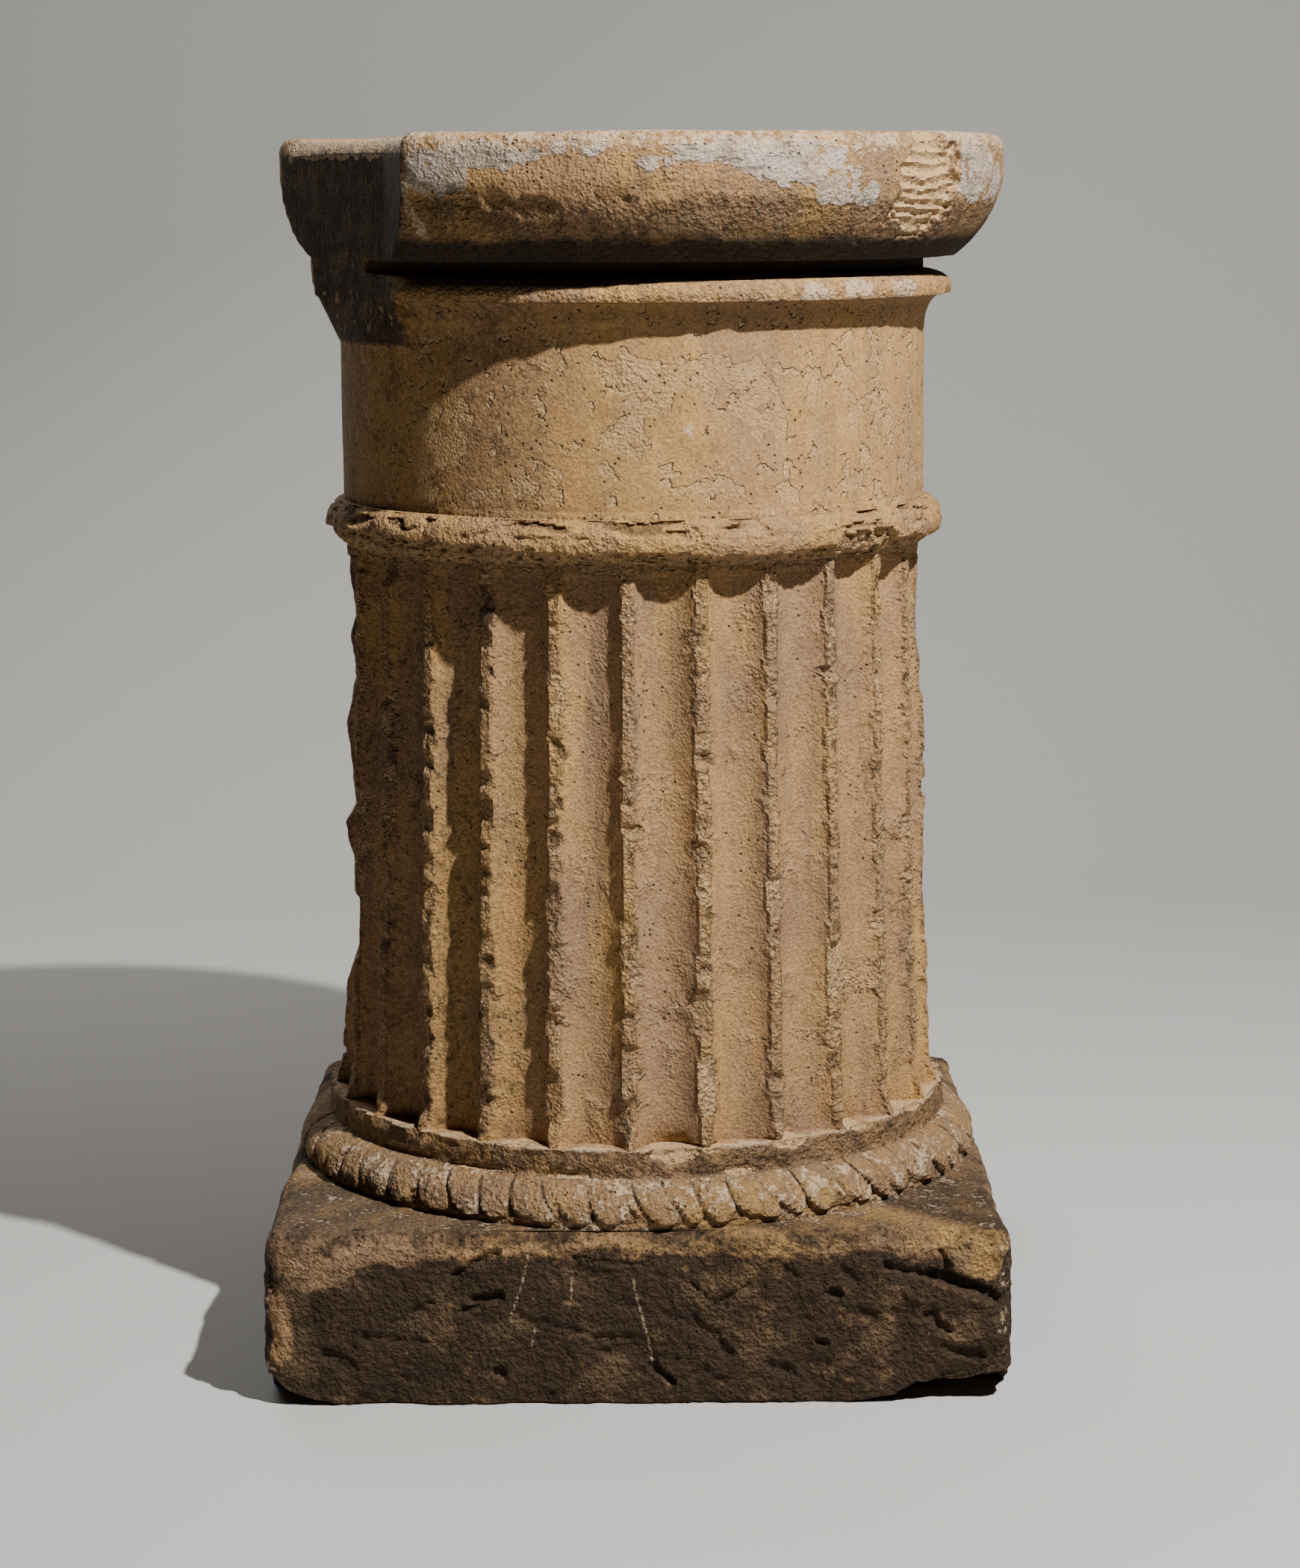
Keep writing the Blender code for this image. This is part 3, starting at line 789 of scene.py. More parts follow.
def wear_capital(stone):
    """Lime skin, dust and small losses on the slab and the echinus, and on the fillet under them, with
    painted shade under the echinus, in the groove and under the fillet.
    """
    courses = stone.courses
    head = stone.between("cap", "groove")
    lower = stone.fade(courses.slab_foot - 6 * MM, courses.slab_foot - 18 * MM, 10 * MM) * head
    grain = stone.noise(5 * MM, 41) + 0.7 * stone.noise(11 * MM, 42)
    stone.radius -= (0.3 + 1.1 * lower) * MM * np.abs(grain) * head
    stone.dent(SLAB_DENTS, "cap", "groove")
    stone.stain_patches("lime", LIME_SKIN)
    stone.stains["lime"] *= head * stone.fade(courses.slab_foot - 24 * MM, courses.slab_foot - 16 * MM)
    fresh = break_slab(stone, head, grain)
    stone.stain("rough", mixed(0.22, 0.9, lower) * head * (1 - 0.8 * fresh))
    stone.stain("brown", 0.46 * lower * (1 - fresh))
    # Painted shade on the echinus's underside, near its foot
    echinus_foot_shade = stone.fade(courses.echinus_foot + 24 * MM, courses.echinus_foot + 10 * MM, 8 * MM)
    stone.stain("dark", 0.85 * echinus_foot_shade * head)
    # Painted shade in the groove under the echinus, where it is cut
    groove = stone.between_rows(stone.marks["groove"], stone.marks["groove"] + 5)
    stone.stain("dark", 0.9 * groove * smooth_step(GROOVE_START - 3, GROOVE_START + 2, stone.degrees()))
    top_dust = stone.fade(courses.slab_foot + 7 * MM, courses.slab_foot + 26 * MM) * head
    stone.stain("pale", 0.52 * top_dust * (1 - fresh))
    edge = stone.between_rows(stone.marks["band"] - 2, stone.marks["cavetto"] + 1)
    stone.radius -= edge * 3.4 * MM * np.maximum(stone.noise(11 * MM, 44) + 0.4 * stone.jagged, 0.0)
    stone.stain("rough", 0.6 * edge)
    # Painted shade in the cavetto, under the fillet's overhang
    under_fillet = stone.fade(courses.band_foot - 25 * MM, courses.band_foot - 10 * MM)
    stone.stain("dark", 0.45 * stone.between("cavetto", "neck") * under_fillet)
    stone.stain_patches("pale", PALE_PLACES)


def break_slab(stone, head, grain):
    """Makes the fresh break with its wavy ridges, and gives its share of each vertex."""
    azimuth, level, wide, high, depth = FRESH_BREAK
    fresh = stone.patch(azimuth, level, wide, high, 0.08) * head * smooth_step(*BREAK_EDGE, stone.degrees())
    bend = 0.7 * stone.noise(30 * MM, 43) + 0.22 * stone.noise(11 * MM, 48)
    wave = np.abs(np.sin(math.pi * (stone.level / RIDGE_STEP + bend)))
    wave *= 1 + 0.5 * stone.noise(17 * MM, 49)
    stone.radius -= fresh * ((depth - 1) * MM + RIDGE_DEPTH * wave + 0.3 * MM * grain)
    stone.stain("fresh", fresh)
    stone.stains["lime"] *= 1 - fresh
    return fresh


# Where the neck's smooth skin has flaked off: azimuth, level, half width, half height and strength
NECK_FLAKES = (
    (8, 0.748, 76, 14, 1.0),
    (25, 0.724, 20, 22, 0.9),
    (3, 0.727, 18, 12, 0.7),
    (-1, 0.702, 18, 13, 0.9),
    (-20, 0.665, 12, 12, 0.9),
    (-14.5, 0.668, 6, 13, 0.8),
    (-36, 0.702, 24, 28, 0.8),
    (-30, 0.660, 14, 8, 0.7),
    (14, 0.668, 26, 8, 0.7),
    (36, 0.744, 6, 24, 0.8),
    (45, 0.720, 10, 20, 0.7),
    (50, 0.672, 9, 16, 0.7),
    (58, 0.704, 8, 26, 0.7),
    (66, 0.735, 6, 20, 0.6),
    (100, 0.700, 30, 26, 0.8),
    (135, 0.730, 40, 18, 0.8),
    (172, 0.690, 26, 22, 0.7),
    (-150, 0.720, 34, 20, 0.8),
    (-112, 0.690, 20, 26, 0.8),
)
# Level below which the ring is broken away, by azimuth in degrees
RING_BREAK = (
    (-180, 0.621),
    (-100, 0.622),
    (-62, 0.627),
    (-44, 0.629),
    (-30, 0.626),
    (-18, 0.622),
    (-6, 0.6185),
    (4, 0.620),
    (18, 0.6175),
    (30, 0.6175),
    (38, 0.620),
    (41, 0.630),
    (52, 0.632),
    (57, 0.622),
    (78, 0.618),
    (110, 0.624),
    (150, 0.618),
    (180, 0.621),
)
# Two pale spots on the neck, in the same terms as its flakes
NECK_SPOTS = ((10, 0.707, 4, 4, 1.0), (-30, 0.735, 3, 3, 0.8))


def wear_neck(stone):
    """Flakes and spots on the neck's smooth skin, which is browner at the left."""
    neck = stone.between("cavetto", "ring")
    degrees = stone.degrees()
    stone.stain("skin", neck * 1.0)
    stone.stain("brown", 0.37 * smooth_step(15.0, -30.0, degrees) * neck)
    elsewhere = stone.stains["flake"].copy()
    stone.stain("flake", 0.30 + 0.1 * smooth_step(20.0, 60.0, degrees))
    stone.stain_patches("flake", NECK_FLAKES)
    stone.stains["flake"] = np.where(neck, stone.stains["flake"], elsewhere)
    stone.stain_patches("pale", NECK_SPOTS)


def wear_ring(stone):
    """The broken underside of the neck ring, and the crevices and flakes on its upper side."""
    ring = stone.between("ring", "shaft")
    rugged = np.abs(stone.noise(5 * MM, 45) + 0.6 * stone.noise(13 * MM, 46))
    azimuths, levels = zip(*RING_BREAK)
    below = stone.level - np.interp(stone.degrees(), azimuths, levels) - 14 * MM * stone.jagged
    broken = smooth_step(0.5 * MM, -0.5 * MM, below) * ring
    loss = (4.8 + 5.0 * rugged + 2.0 * stone.noise(20 * MM, 56)) * MM * broken + 1.9 * MM * rugged * ring
    kept = np.minimum(stone.radius, stone.sizes.shaft_top_radius - 1 * MM)
    stone.radius = np.where(ring, np.maximum(stone.radius - loss, kept), stone.radius)
    # Long thin crevices run along the joint above the ring
    top, foot = stone.courses.neck_foot, stone.courses.ring_foot
    joint = stone.fade(foot + 18 * MM, foot + 26 * MM) * stone.fade(top - 0.2 * MM, top - 2 * MM) * ring
    torn = stone.noise(26 * MM, 65, 0.22) + 0.4 * stone.noise(7 * MM, 66, 0.6)
    crevice = smooth_step(0.20, 0.34, torn) * joint
    peeled = smooth_step(0.0, 0.06, stone.noise(21 * MM, 67, 0.6)) * joint
    stone.radius -= (4.0 * crevice + 2.6 * peeled) * MM
    # The crevices are darkened as painted shade
    stone.stain("dark", 0.55 * crevice)
    stone.stain("rough", mixed(0.5, 1.0, broken) * ring)
    stone.stain("flake", 0.8 * broken)
    # Painted shade low on the ring, towards its underside
    stone.stain("dark", 0.35 * stone.fade(foot + 8 * MM, foot + 1 * MM) * ring)


# Chips on the fillet under the flutes: azimuth, level, half width, half height and depth in mm
FOOT_DENTS = (
    (6.5, 0.180, 17, 8, 6),
    (13.5, 0.184, 8, 6, 3),
    (28, 0.181, 15, 5, 4),
    (-46, 0.165, 26, 5, 4),
    (-30, 0.163, 20, 4, 3),
    (-12, 0.163, 16, 4, 2.5),
    (18, 0.164, 12, 4, 2.5),
    (44, 0.184, 12, 5, 4),
    (62, 0.183, 10, 5, 4),
    (-66, 0.183, 12, 6, 4),
    (-22, 0.184, 8, 4, 2.5),
    (100, 0.182, 16, 7, 5),
    (170, 0.182, 20, 8, 5),
    (-120, 0.182, 20, 7, 5),
)


def wear_foot(stone):
    """Chips on the fillet under the flutes."""
    fillet = stone.between("ledge", "leaves")
    top_edge = stone.fade(stone.courses.shaft_foot - 8 * MM, stone.courses.shaft_foot)
    ragged = np.maximum(stone.noise(17 * MM, 57) + 0.5 * stone.noise(7 * MM, 58), 0.0)
    loss = 2.0 * np.abs(stone.noise(6 * MM, 47)) + 7.0 * ragged * top_edge
    stone.radius -= fillet * stone.share("ledge", "fillet") * loss * MM
    stone.dent(FOOT_DENTS, "ledge", "leaves", "fresh")
    side = stone.between("fillet", "leaves")
    stone.stain("rough", 0.6 * side)
    stone.stain("brown", 0.50 * side)


# Azimuths where the gaps between the leaves start at the top, at the front, in degrees
LEAF_GAPS = (-72.5, -59.4, -46.2, -33.9, -21.7, -8.6, 4.0, 15.0, 27.1, 38.8, 50.0, 62.5, 75.0)
LEAVES = 30


def leaf_gaps():
    """Azimuths of all the gaps: those at the front as they are, and the rest even."""
    rest = LEAVES - len(LEAF_GAPS)
    start, end = LEAF_GAPS[-1], LEAF_GAPS[0] + 360
    even = [start + (end - start) * number / (rest + 1) for number in range(1, rest + 1)]
    return np.array([LEAF_GAPS[0] - 360 / LEAVES, *LEAF_GAPS, *even, LEAF_GAPS[0] + 360])


def carve_leaves(stone):
    """Broad flat leaves with round tips, parted by thin leaning grooves, over a plain strip."""
    down = stone.share("leaves", "strip")
    rows = stone.between("leaves", "strip")
    gaps = leaf_gaps()
    degrees = stone.degrees()
    turn = np.where(degrees < gaps[1], degrees + 360, degrees)
    # The grooves lean more and less from leaf to leaf
    place = turn - (2.4 + 1.4 * np.sin(turn * 0.35)) * down**2
    number = np.clip(np.searchsorted(gaps, place, side="right") - 1, 0, len(gaps) - 2)
    start, end = gaps[number], gaps[number + 1]
    across = (place - start) / (end - start) * 2 - 1
    half_width = np.radians(end - start) / 2 * stone.radius / MM
    groove = carved_line((1 - np.abs(across)) * half_width, 1.1) * smooth_step(0.0, 0.12, down)
    # Each leaf has two tongues, parted by a fainter line, and one of them stands a little proud
    tongue = 2 * np.abs(across) - 1
    aside = 0.22 * np.sin(number * 2.3)
    line = carved_line((across - aside) * half_width, 1.3) * smooth_step(0.0, 0.2, down)
    proud = 0.9 * np.sin(number * 5.1 + 2.6 * (across > aside))
    tip = smooth_step(0.0, 0.05, down - (1 - 0.26 * np.abs(tongue) ** 2.5))
    crown = 1.3 * (1 - np.abs(tongue) ** 3)
    hewn = 0.8 * stone.noise(5 * MM, 51, 1.6) + 1.3 * stone.noise(13 * MM, 59)
    relief = crown + proud - 3.5 * groove - 2.8 * line - 3.0 * tip + hewn
    # Towards the back the leaves are carved less deep
    shallow = 1 - 0.4 * smooth_step(70, 100, np.abs(degrees))
    stone.radius = np.where(rows, stone.radius + relief * shallow * MM, stone.radius)
    band = stone.between("leaves", "plinth top")
    # Painted shade in the grooves between the leaves and under their tips
    stone.stain("dark", np.maximum(0.80 * groove, 0.70 * line) * rows)
    stone.stain("dark", 0.50 * tip * rows)
    stone.stain("rough", 0.50 * band)
    stone.stain("pale", (0.38 + 0.4 * stone.jagged) * band)
    stone.stain("brown", 0.44 * band)


def carved_line(away, half_width):
    """1 on a carved line and less beside it, by the distance from it in mm."""
    return np.exp(-((away / half_width) ** 2))


def square_outline(stone, half):
    """Place of each vertex on a square of this half width with worn corners, even along each side."""
    corner = stone.sizes.plinth_wear + 4 * MM
    turns = np.radians(range(-225, 226, 90))
    once = stone.columns[:-1]
    wrapped = np.concatenate([once - 2 * math.pi, once, stone.columns + 2 * math.pi])
    steps = len(stone.columns) - 1
    numbers = np.arange(len(wrapped)) - steps
    corners = np.interp(turns, wrapped, numbers)
    # Side 2 is the front: its outward way is -Y and its right is +X
    side = np.clip(np.searchsorted(corners, stone.column, side="right") - 1, 0, 4)
    start, end = corners[side], corners[side + 1]
    along = ((stone.column - start) / (end - start) * 2 - 1) * half
    past = np.maximum(np.abs(along) - (half - corner), 0.0) / corner
    bend = past * math.pi / 4
    right = np.where(past > 0, (half - corner) + corner * np.sin(bend), np.abs(along)) * np.sign(along)
    out = np.where(past > 0, (half - corner) + corner * np.cos(bend), half)
    return right, out, (side - 2) * math.pi / 2


# Marks cut into the plinth's front, from the photo: x and level of both ends in mm, half width and depth
FRONT_GOUGES = (
    (-133, 99, -104, 116, 3.0, 4.0),
    (-118, 79, -101, 82, 4.5, 6.0),
    (-128, 71, -115, 75, 3.5, 5.0),
    (-103, 24, -100, 24, 4.5, 4.0),
    (143, 83, 146, 83, 5.0, 5.0),
    (132, 46, 136, 45, 4.0, 3.5),
    (182, 103, 215, 96, 3.5, 4.0),
    (215, 96, 246, 87, 5.5, 8.0),
    (246, 87, 262, 78, 4.5, 6.0),
    (221, 113, 229, 94, 3.0, 5.0),
    (213, 66, 227, 54, 3.5, 4.0),
    (38, 92, 57, 75, 2.0, 2.0),
    (57, 75, 82, 91, 2.0, 2.0),
    (10, 29, 25, 17, 4.0, 5.0),
    (-62, 115, -30, 109, 1.8, 1.5),
    (-30, 109, 14, 104, 1.8, 1.5),
    (-228, 40, -214, 30, 6.0, 2.5),
    (-90, 66, -70, 60, 7.0, 2.0),
    (100, 106, 112, 96, 5.0, 2.0),
    (150, 100, 158, 92, 5.0, 2.0),
    (225, 40, 250, 34, 6.0, 2.5),
    (40, 60, 56, 52, 5.0, 3.0),
    (58, 46, 66, 38, 4.0, 3.0),
    (160, 70, 176, 60, 5.0, 2.0),
    (-30, 40, 10, 34, 4.0, 1.6),
    (-60, 58, -20, 50, 4.0, 1.6),
    (-180, 62, -150, 78, 3.0, 1.8),
    (-200, 52, -140, 46, 4.0, 1.6),
    (90, 30, 110, 24, 5.0, 2.0),
)
# Pale scratches on the plinth's front: x and level of both ends in mm
FRONT_SCRATCHES = (
    (-4, 95, 2, 69),
    (2, 69, 8, 46),
    (8, 46, 10, 29),
    (-78, 121, -84, 95),
    (-84, 95, -94, 64),
    (-76, 58, -78, 44),
    (-48, 96, -50, 72),
)
# How far beside a scratch, in mm, its stain fades out
SCRATCH_REACH = 8.0
# Marks on each of the plinth's other faces, and the seed of their places
OTHER_GOUGES = 16
GOUGE_SEED = 60
# Pale dust at the worn left corner of the plinth's front: x, level, half width and half height in mm
CORNER_DUST = (
    (-236, 110, 44, 22),
    (-190, 116, 50, 11),
    (-140, 121, 60, 8),
    (250, 104, 22, 12),
    (-262, 60, 10, 40),
)
# Outline of the underside where its front corners broke off: x and level in mm
RIGHT_BREAK = ((150, 0), (156, 1), (188, 6), (202, 16), (243, 20), (265, 23), (275, 27))
LEFT_BREAK = ((-275, 25), (-265, 20), (-260, 15), (-249, 9), (-233, 4), (-215, 0))
# How far back from the front the breaks go, fading out beyond the first distance
BREAK_DEPTH = (0.020, 0.055)


def near_line(across, level, line):
    """Distance in mm of each place from a short straight line on a face."""
    start = np.array(line[:2], dtype=float)
    way = np.array(line[2:4], dtype=float) - start
    off_x, off_z = across / MM - start[0], level / MM - start[1]
    share = np.clip((off_x * way[0] + off_z * way[1]) / max(way @ way, 1e-6), 0.0, 1.0)
    return np.hypot(off_x - share * way[0], off_z - share * way[1])


def random_gouges(seed):
    """Marks for one of the plinth's other faces, in the same terms as the front's."""
    draws = np.random.default_rng(seed)
    gouges = []
    for _ in range(OTHER_GOUGES):
        x, z = draws.uniform(-250, 250), draws.uniform(14, 114)
        end_x, end_z = x + draws.uniform(-26, 26), z + draws.uniform(-14, 14)
        gouges.append((x, z, end_x, end_z, draws.uniform(3, 6), draws.uniform(1.5, 5)))
    return gouges


def gouge_plinth(stone, right, side_number, face):
    """How deep the marks on the plinth's faces are, in mm. The front's scratches are stained on the way."""
    gouged = np.zeros(len(right))
    for number in range(-2, 3):
        here = (side_number == number) & face
        gouges = FRONT_GOUGES if number == 0 else random_gouges(GOUGE_SEED + number % 4)
        for gouge in gouges:
            wide, deep = gouge[4:]
            away = near_line(right, stone.level, gouge) / wide + 1.3 * stone.jagged
            gouged = np.maximum(gouged, here * deep * smooth_step(1.1, 0.6, away))
    front = (side_number == 0) & face
    for line in FRONT_SCRATCHES:
        stone.stain("scratch", front * (1 - near_line(right, stone.level, line) / SCRATCH_REACH))
    return gouged


def stain_plinth(stone, right, side_number, face, to_corner):
    """Brown patina low on the plinth's faces, dust on the front's worn left corner, and paler edges."""
    height = stone.sizes.plinth_height
    ragged = 26 * MM * stone.jagged + 10 * MM * stone.noise(50 * MM, 64)
    low = smooth_step(height + 1 * MM, height - 25 * MM, stone.level + ragged)
    dust = np.zeros(len(right))
    for x, level, wide, high in CORNER_DUST:
        away = np.hypot((right / MM - x) / wide, (stone.level / MM - level) / high) + 1.2 * stone.jagged
        dust = np.maximum(dust, smooth_step(1.3, 0.5, away) * (side_number == 0))
    mottled = np.clip(0.97 + 0.4 * stone.noise(28 * MM, 69) + 0.4 * stone.noise(9 * MM, 70), 0.70, 1.0)
    stone.stain("brown", face * low * (1 - 0.62 * dust) * mottled)
    top = stone.between("plinth top", "plinth edge")
    stone.stain("pale", 0.26 * top)
    stone.stain("brown", (0.64 + 0.3 * stone.noise(40 * MM, 71)) * np.maximum(top, face * (1 - low)))
    stone.stain("pale", 0.5 * to_corner * smooth_step(0.1, 0.4, stone.jagged + 0.3))


def square_plinth(stone):
    """Makes the plinth's rows square, and wears, gouges and breaks them."""
    height = stone.sizes.plinth_height
    right, out, facing = square_outline(stone, stone.radius)
    block = stone.between("plinth top", "end")
    face = stone.between("plinth edge", "underside")
    side_number = np.round(facing / (math.pi / 2)).astype(int)
    gouged = gouge_plinth(stone, right, side_number, face)
    # In mm: marks, pecking and battered hollows on the faces, and chips and wear along the top edge
    pecked = stone.noise(6 * MM, 52) + 0.8 * stone.noise(15 * MM, 53)
    battered = np.maximum(stone.noise(34 * MM, 68) - 0.1, 0.0)
    edge = stone.fade(height - 17 * MM, height - 3 * MM) * face
    chips = np.maximum(stone.noise(26 * MM, 54) + 0.5 * stone.jagged, 0.0)
    shoulder = stone.fade(height - 29 * MM, height) ** 2 * (3.0 + 2.5 * stone.noise(45 * MM, 61)) * face
    faced = gouged + (2.3 * np.abs(pecked) + 7.0 * battered) * face + 8.0 * chips * edge
    to_corner = smooth_step(20 * MM, 0.0, stone.sizes.plinth_width / 2 - np.abs(right)) * face
    faced += to_corner * np.maximum(2.5 + 6 * stone.noise(22 * MM, 55), 0.0)
    inward = (faced + shoulder) * MM
    out = out - inward
    right = right - np.sign(right) * to_corner * inward * 0.7
    # Painted shade in the deepest of the marks
    stone.stain("dark", smooth_step(3.6, 7.0, faced) * face * (1 - edge) * (1 - to_corner) * 0.7)
    stone.stain("rough", 0.62 * face)
    stone.stain("rough", 0.5 * block)
    stain_plinth(stone, right, side_number, face, to_corner)
    square_x = right * np.cos(facing) + out * np.sin(facing)
    square_y = right * np.sin(facing) - out * np.cos(facing)
    share = stone.share("plinth top", "plinth edge") * smooth_step(20 * MM, 60 * MM, stone.radius) * block
    stone.x = mixed(stone.x, square_x, share)
    stone.y = mixed(stone.y, square_y, share)
    # Beyond either end of its outline a break stays as deep as it is there
    deep_share = smooth_step(BREAK_DEPTH[1], BREAK_DEPTH[0], stone.y + stone.sizes.plinth_width / 2)
    for outline in (RIGHT_BREAK, LEFT_BREAK):
        across, levels = zip(*outline)
        lift = np.interp(stone.x / MM, across, levels) * MM * deep_share * (1 + 0.5 * stone.jagged)
        stone.level = np.where(block & (stone.level < lift), lift, stone.level)


def weather(stone, mesh):
    """Moves the whole surface a little in and out along its normals."""
    points = np.stack([stone.x, stone.y, stone.level], axis=1)
    mesh.vertices.foreach_set("co", points.ravel())
    mesh.update()
    normals = np.empty(len(points) * 3)
    mesh.vertices.foreach_get("normal", normals)
    normals = normals.reshape(-1, 3)
    relief = 0.7 * stone.noise(90 * MM, 31) + 0.3 * stone.noise(13 * MM, 32)
    relief = np.where(stone.row >= stone.marks["underside"], 0.0, relief)
    points += normals * (relief * MM)[:, None]
    points[:, 2] = np.maximum(points[:, 2], 0.0)
    mesh.vertices.foreach_set("co", points.ravel())
    mesh.update()


class Number:
    """A number in the node tree. Sums on it add Math nodes."""

    def __init__(self, finish, socket):
        self.finish = finish
        self.socket = socket

    def sum(self, operation, first, second):
        return self.finish.node("ShaderNodeMath", {"operation": operation}, {0: first, 1: second})

    def __add__(self, other):
        return self.sum("ADD", self, other)

    def __radd__(self, other):
        return self.sum("ADD", other, self)

    def __sub__(self, other):
        return self.sum("SUBTRACT", self, other)

    def __rsub__(self, other):
        return self.sum("SUBTRACT", other, self)

    def __mul__(self, other):
        return self.sum("MULTIPLY", self, other)

    def __rmul__(self, other):
        return self.sum("MULTIPLY", other, self)


class Finish:
    """A material's node tree."""

    def __init__(self, name):
        self.material = bpy.data.materials.new(name)
        self.material.use_nodes = True
        self.tree = self.material.node_tree
        self.shader = self.tree.nodes["Principled BSDF"]

    def node(self, kind, settings=None, inputs=None, output=0):
        """Adds a node: its settings first, then the values or links of its sockets. Gives one output."""
        node = self.tree.nodes.new(kind)
        for name, value in (settings or {}).items():
            if name == "stops":
                self.set_stops(node.color_ramp, value)
            else:
                setattr(node, name, value)
        for name, value in (inputs or {}).items():
            self.join(value, node.inputs[name])
        return Number(self, node.outputs[output])

    def set_stops(self, ramp, stops):
        while len(ramp.elements) < len(stops):
            ramp.elements.new(1.0)
        for element, (position, shade) in zip(ramp.elements, stops):
            element.position = position
            element.color = shade

    def join(self, value, socket):
        if isinstance(value, Number):
            self.tree.links.new(value.socket, socket)
        else:
            socket.default_value = value

    def set(self, name, value):
        """Sets or links a socket of the shader."""
        self.join(value, self.shader.inputs[name])

    def place(self, scale=(1.0, 1.0, 1.0), shift=(0.0, 0.0, 0.0)):
        """Object coordinates, scaled and shifted."""
        where = self.node("ShaderNodeTexCoord", output=3)
        return self.node("ShaderNodeMapping", {}, {"Vector": where, "Scale": scale, "Location": shift})

    def noise(self, scale, detail=4.0, rough=0.55, stretch=(1.0, 1.0, 1.0), shift=(0.0, 0.0, 0.0)):
        return self.node(
            "ShaderNodeTexNoise",
            {},
            {"Vector": self.place(stretch, shift), "Scale": scale, "Detail": detail, "Roughness": rough},
        )

    def cells(self, scale):
        return self.node("ShaderNodeTexVoronoi", {}, {"Vector": self.place(), "Scale": scale})

    def mask(self, value, low, high):
        """0 below low and 1 above high, or the other way round when low is more."""
        return self.node(
            "ShaderNodeMapRange",
            {"interpolation_type": "SMOOTHSTEP"},
            {"Value": value, "From Min": low, "From Max": high},
        )

    def limit(self, value):
        return self.node("ShaderNodeClamp", {}, {"Value": value})

    def stain(self, name):
        return self.node("ShaderNodeAttribute", {"attribute_name": name}, output=2)

    def mix(self, share, first, second, blend="MIX"):
        settings = {"data_type": "RGBA", "blend_type": blend}
        return self.node("ShaderNodeMix", settings, {0: share, 6: first, 7: second}, output=2)


def opaque(shade):
    """A colour with full alpha."""
    return (*shade, 1.0)


class StoneTextures:
    """What the stone's colour and relief are made of. Scales count features in a metre."""

    def __init__(self, finish):
        self.mottle = finish.noise(48.0, 5.0, 0.62)
        self.lumps = finish.noise(240.0, 3.0, 0.6)
        self.speckle = finish.noise(430.0, 2.0, 0.8)
        self.grains = finish.cells(430.0)
        self.pecks = finish.cells(210.0)
        self.streaks = finish.noise(280.0, 2.0, 0.5, (1.0, 1.0, 0.07))
        self.rough = finish.stain("rough")
        self.skin = finish.stain("skin")
        self.cut = finish.stain("streaks")
        # Ragged edges for soft stains, and crisper outlines for what peels off
        ragged = 0.6 * (self.mottle - 0.5) + 0.7 * (self.lumps - 0.5)
        outline = 1.5 * (finish.noise(64.0, 2.0, 0.55, shift=(2.0, 7.0, 4.0)) - 0.5)
        self.fresh = finish.mask(finish.stain("fresh") + ragged, 0.42, 0.52)
        self.pale = finish.mask(finish.stain("pale") + 2.0 * ragged, 0.36, 0.64)
        self.brown = finish.mask(finish.stain("brown") + 1.4 * ragged, 0.20, 0.80)
        # The painted shade stain, with ragged edges
        self.dark = finish.mask(finish.stain("dark") + 0.5 * ragged, 0.15, 0.85)
        self.scratch = finish.mask(finish.stain("scratch") + 0.25 * (self.speckle - 0.5), 0.84, 0.94)
        left = finish.stain("lime") * (0.9 + 1.7 * outline + 0.6 * (self.lumps - 0.5))
        self.lime = finish.mask(left, 0.44, 0.53)
        peeled = finish.stain("flake") * (0.95 + 1.5 * outline) + 0.6 * outline
        self.flake = finish.mask(peeled, 0.47, 0.52)
        self.rim = self.flake * finish.mask(peeled, 0.58, 0.53)
        worn = finish.noise(30.0, 3.0, 0.55, shift=(6.0, 3.0, 1.0)) - 0.10 * self.skin
        self.worn = finish.mask(worn, 0.54, 0.66)
        pitted = finish.mask(finish.noise(28.0, 4.0, 0.6, shift=(3.0, 1.0, 2.0)), 0.46, 0.58)
        self.pits = finish.mask(finish.cells(150.0), 0.20, 0.06) * pitted
        cracked = finish.noise(34.0, 4.0, 0.6, (1.0, 1.0, 7.0), (2.0, 2.0, 1.0))
        self.fissures = finish.mask(cracked, 0.60, 0.66) * self.lime


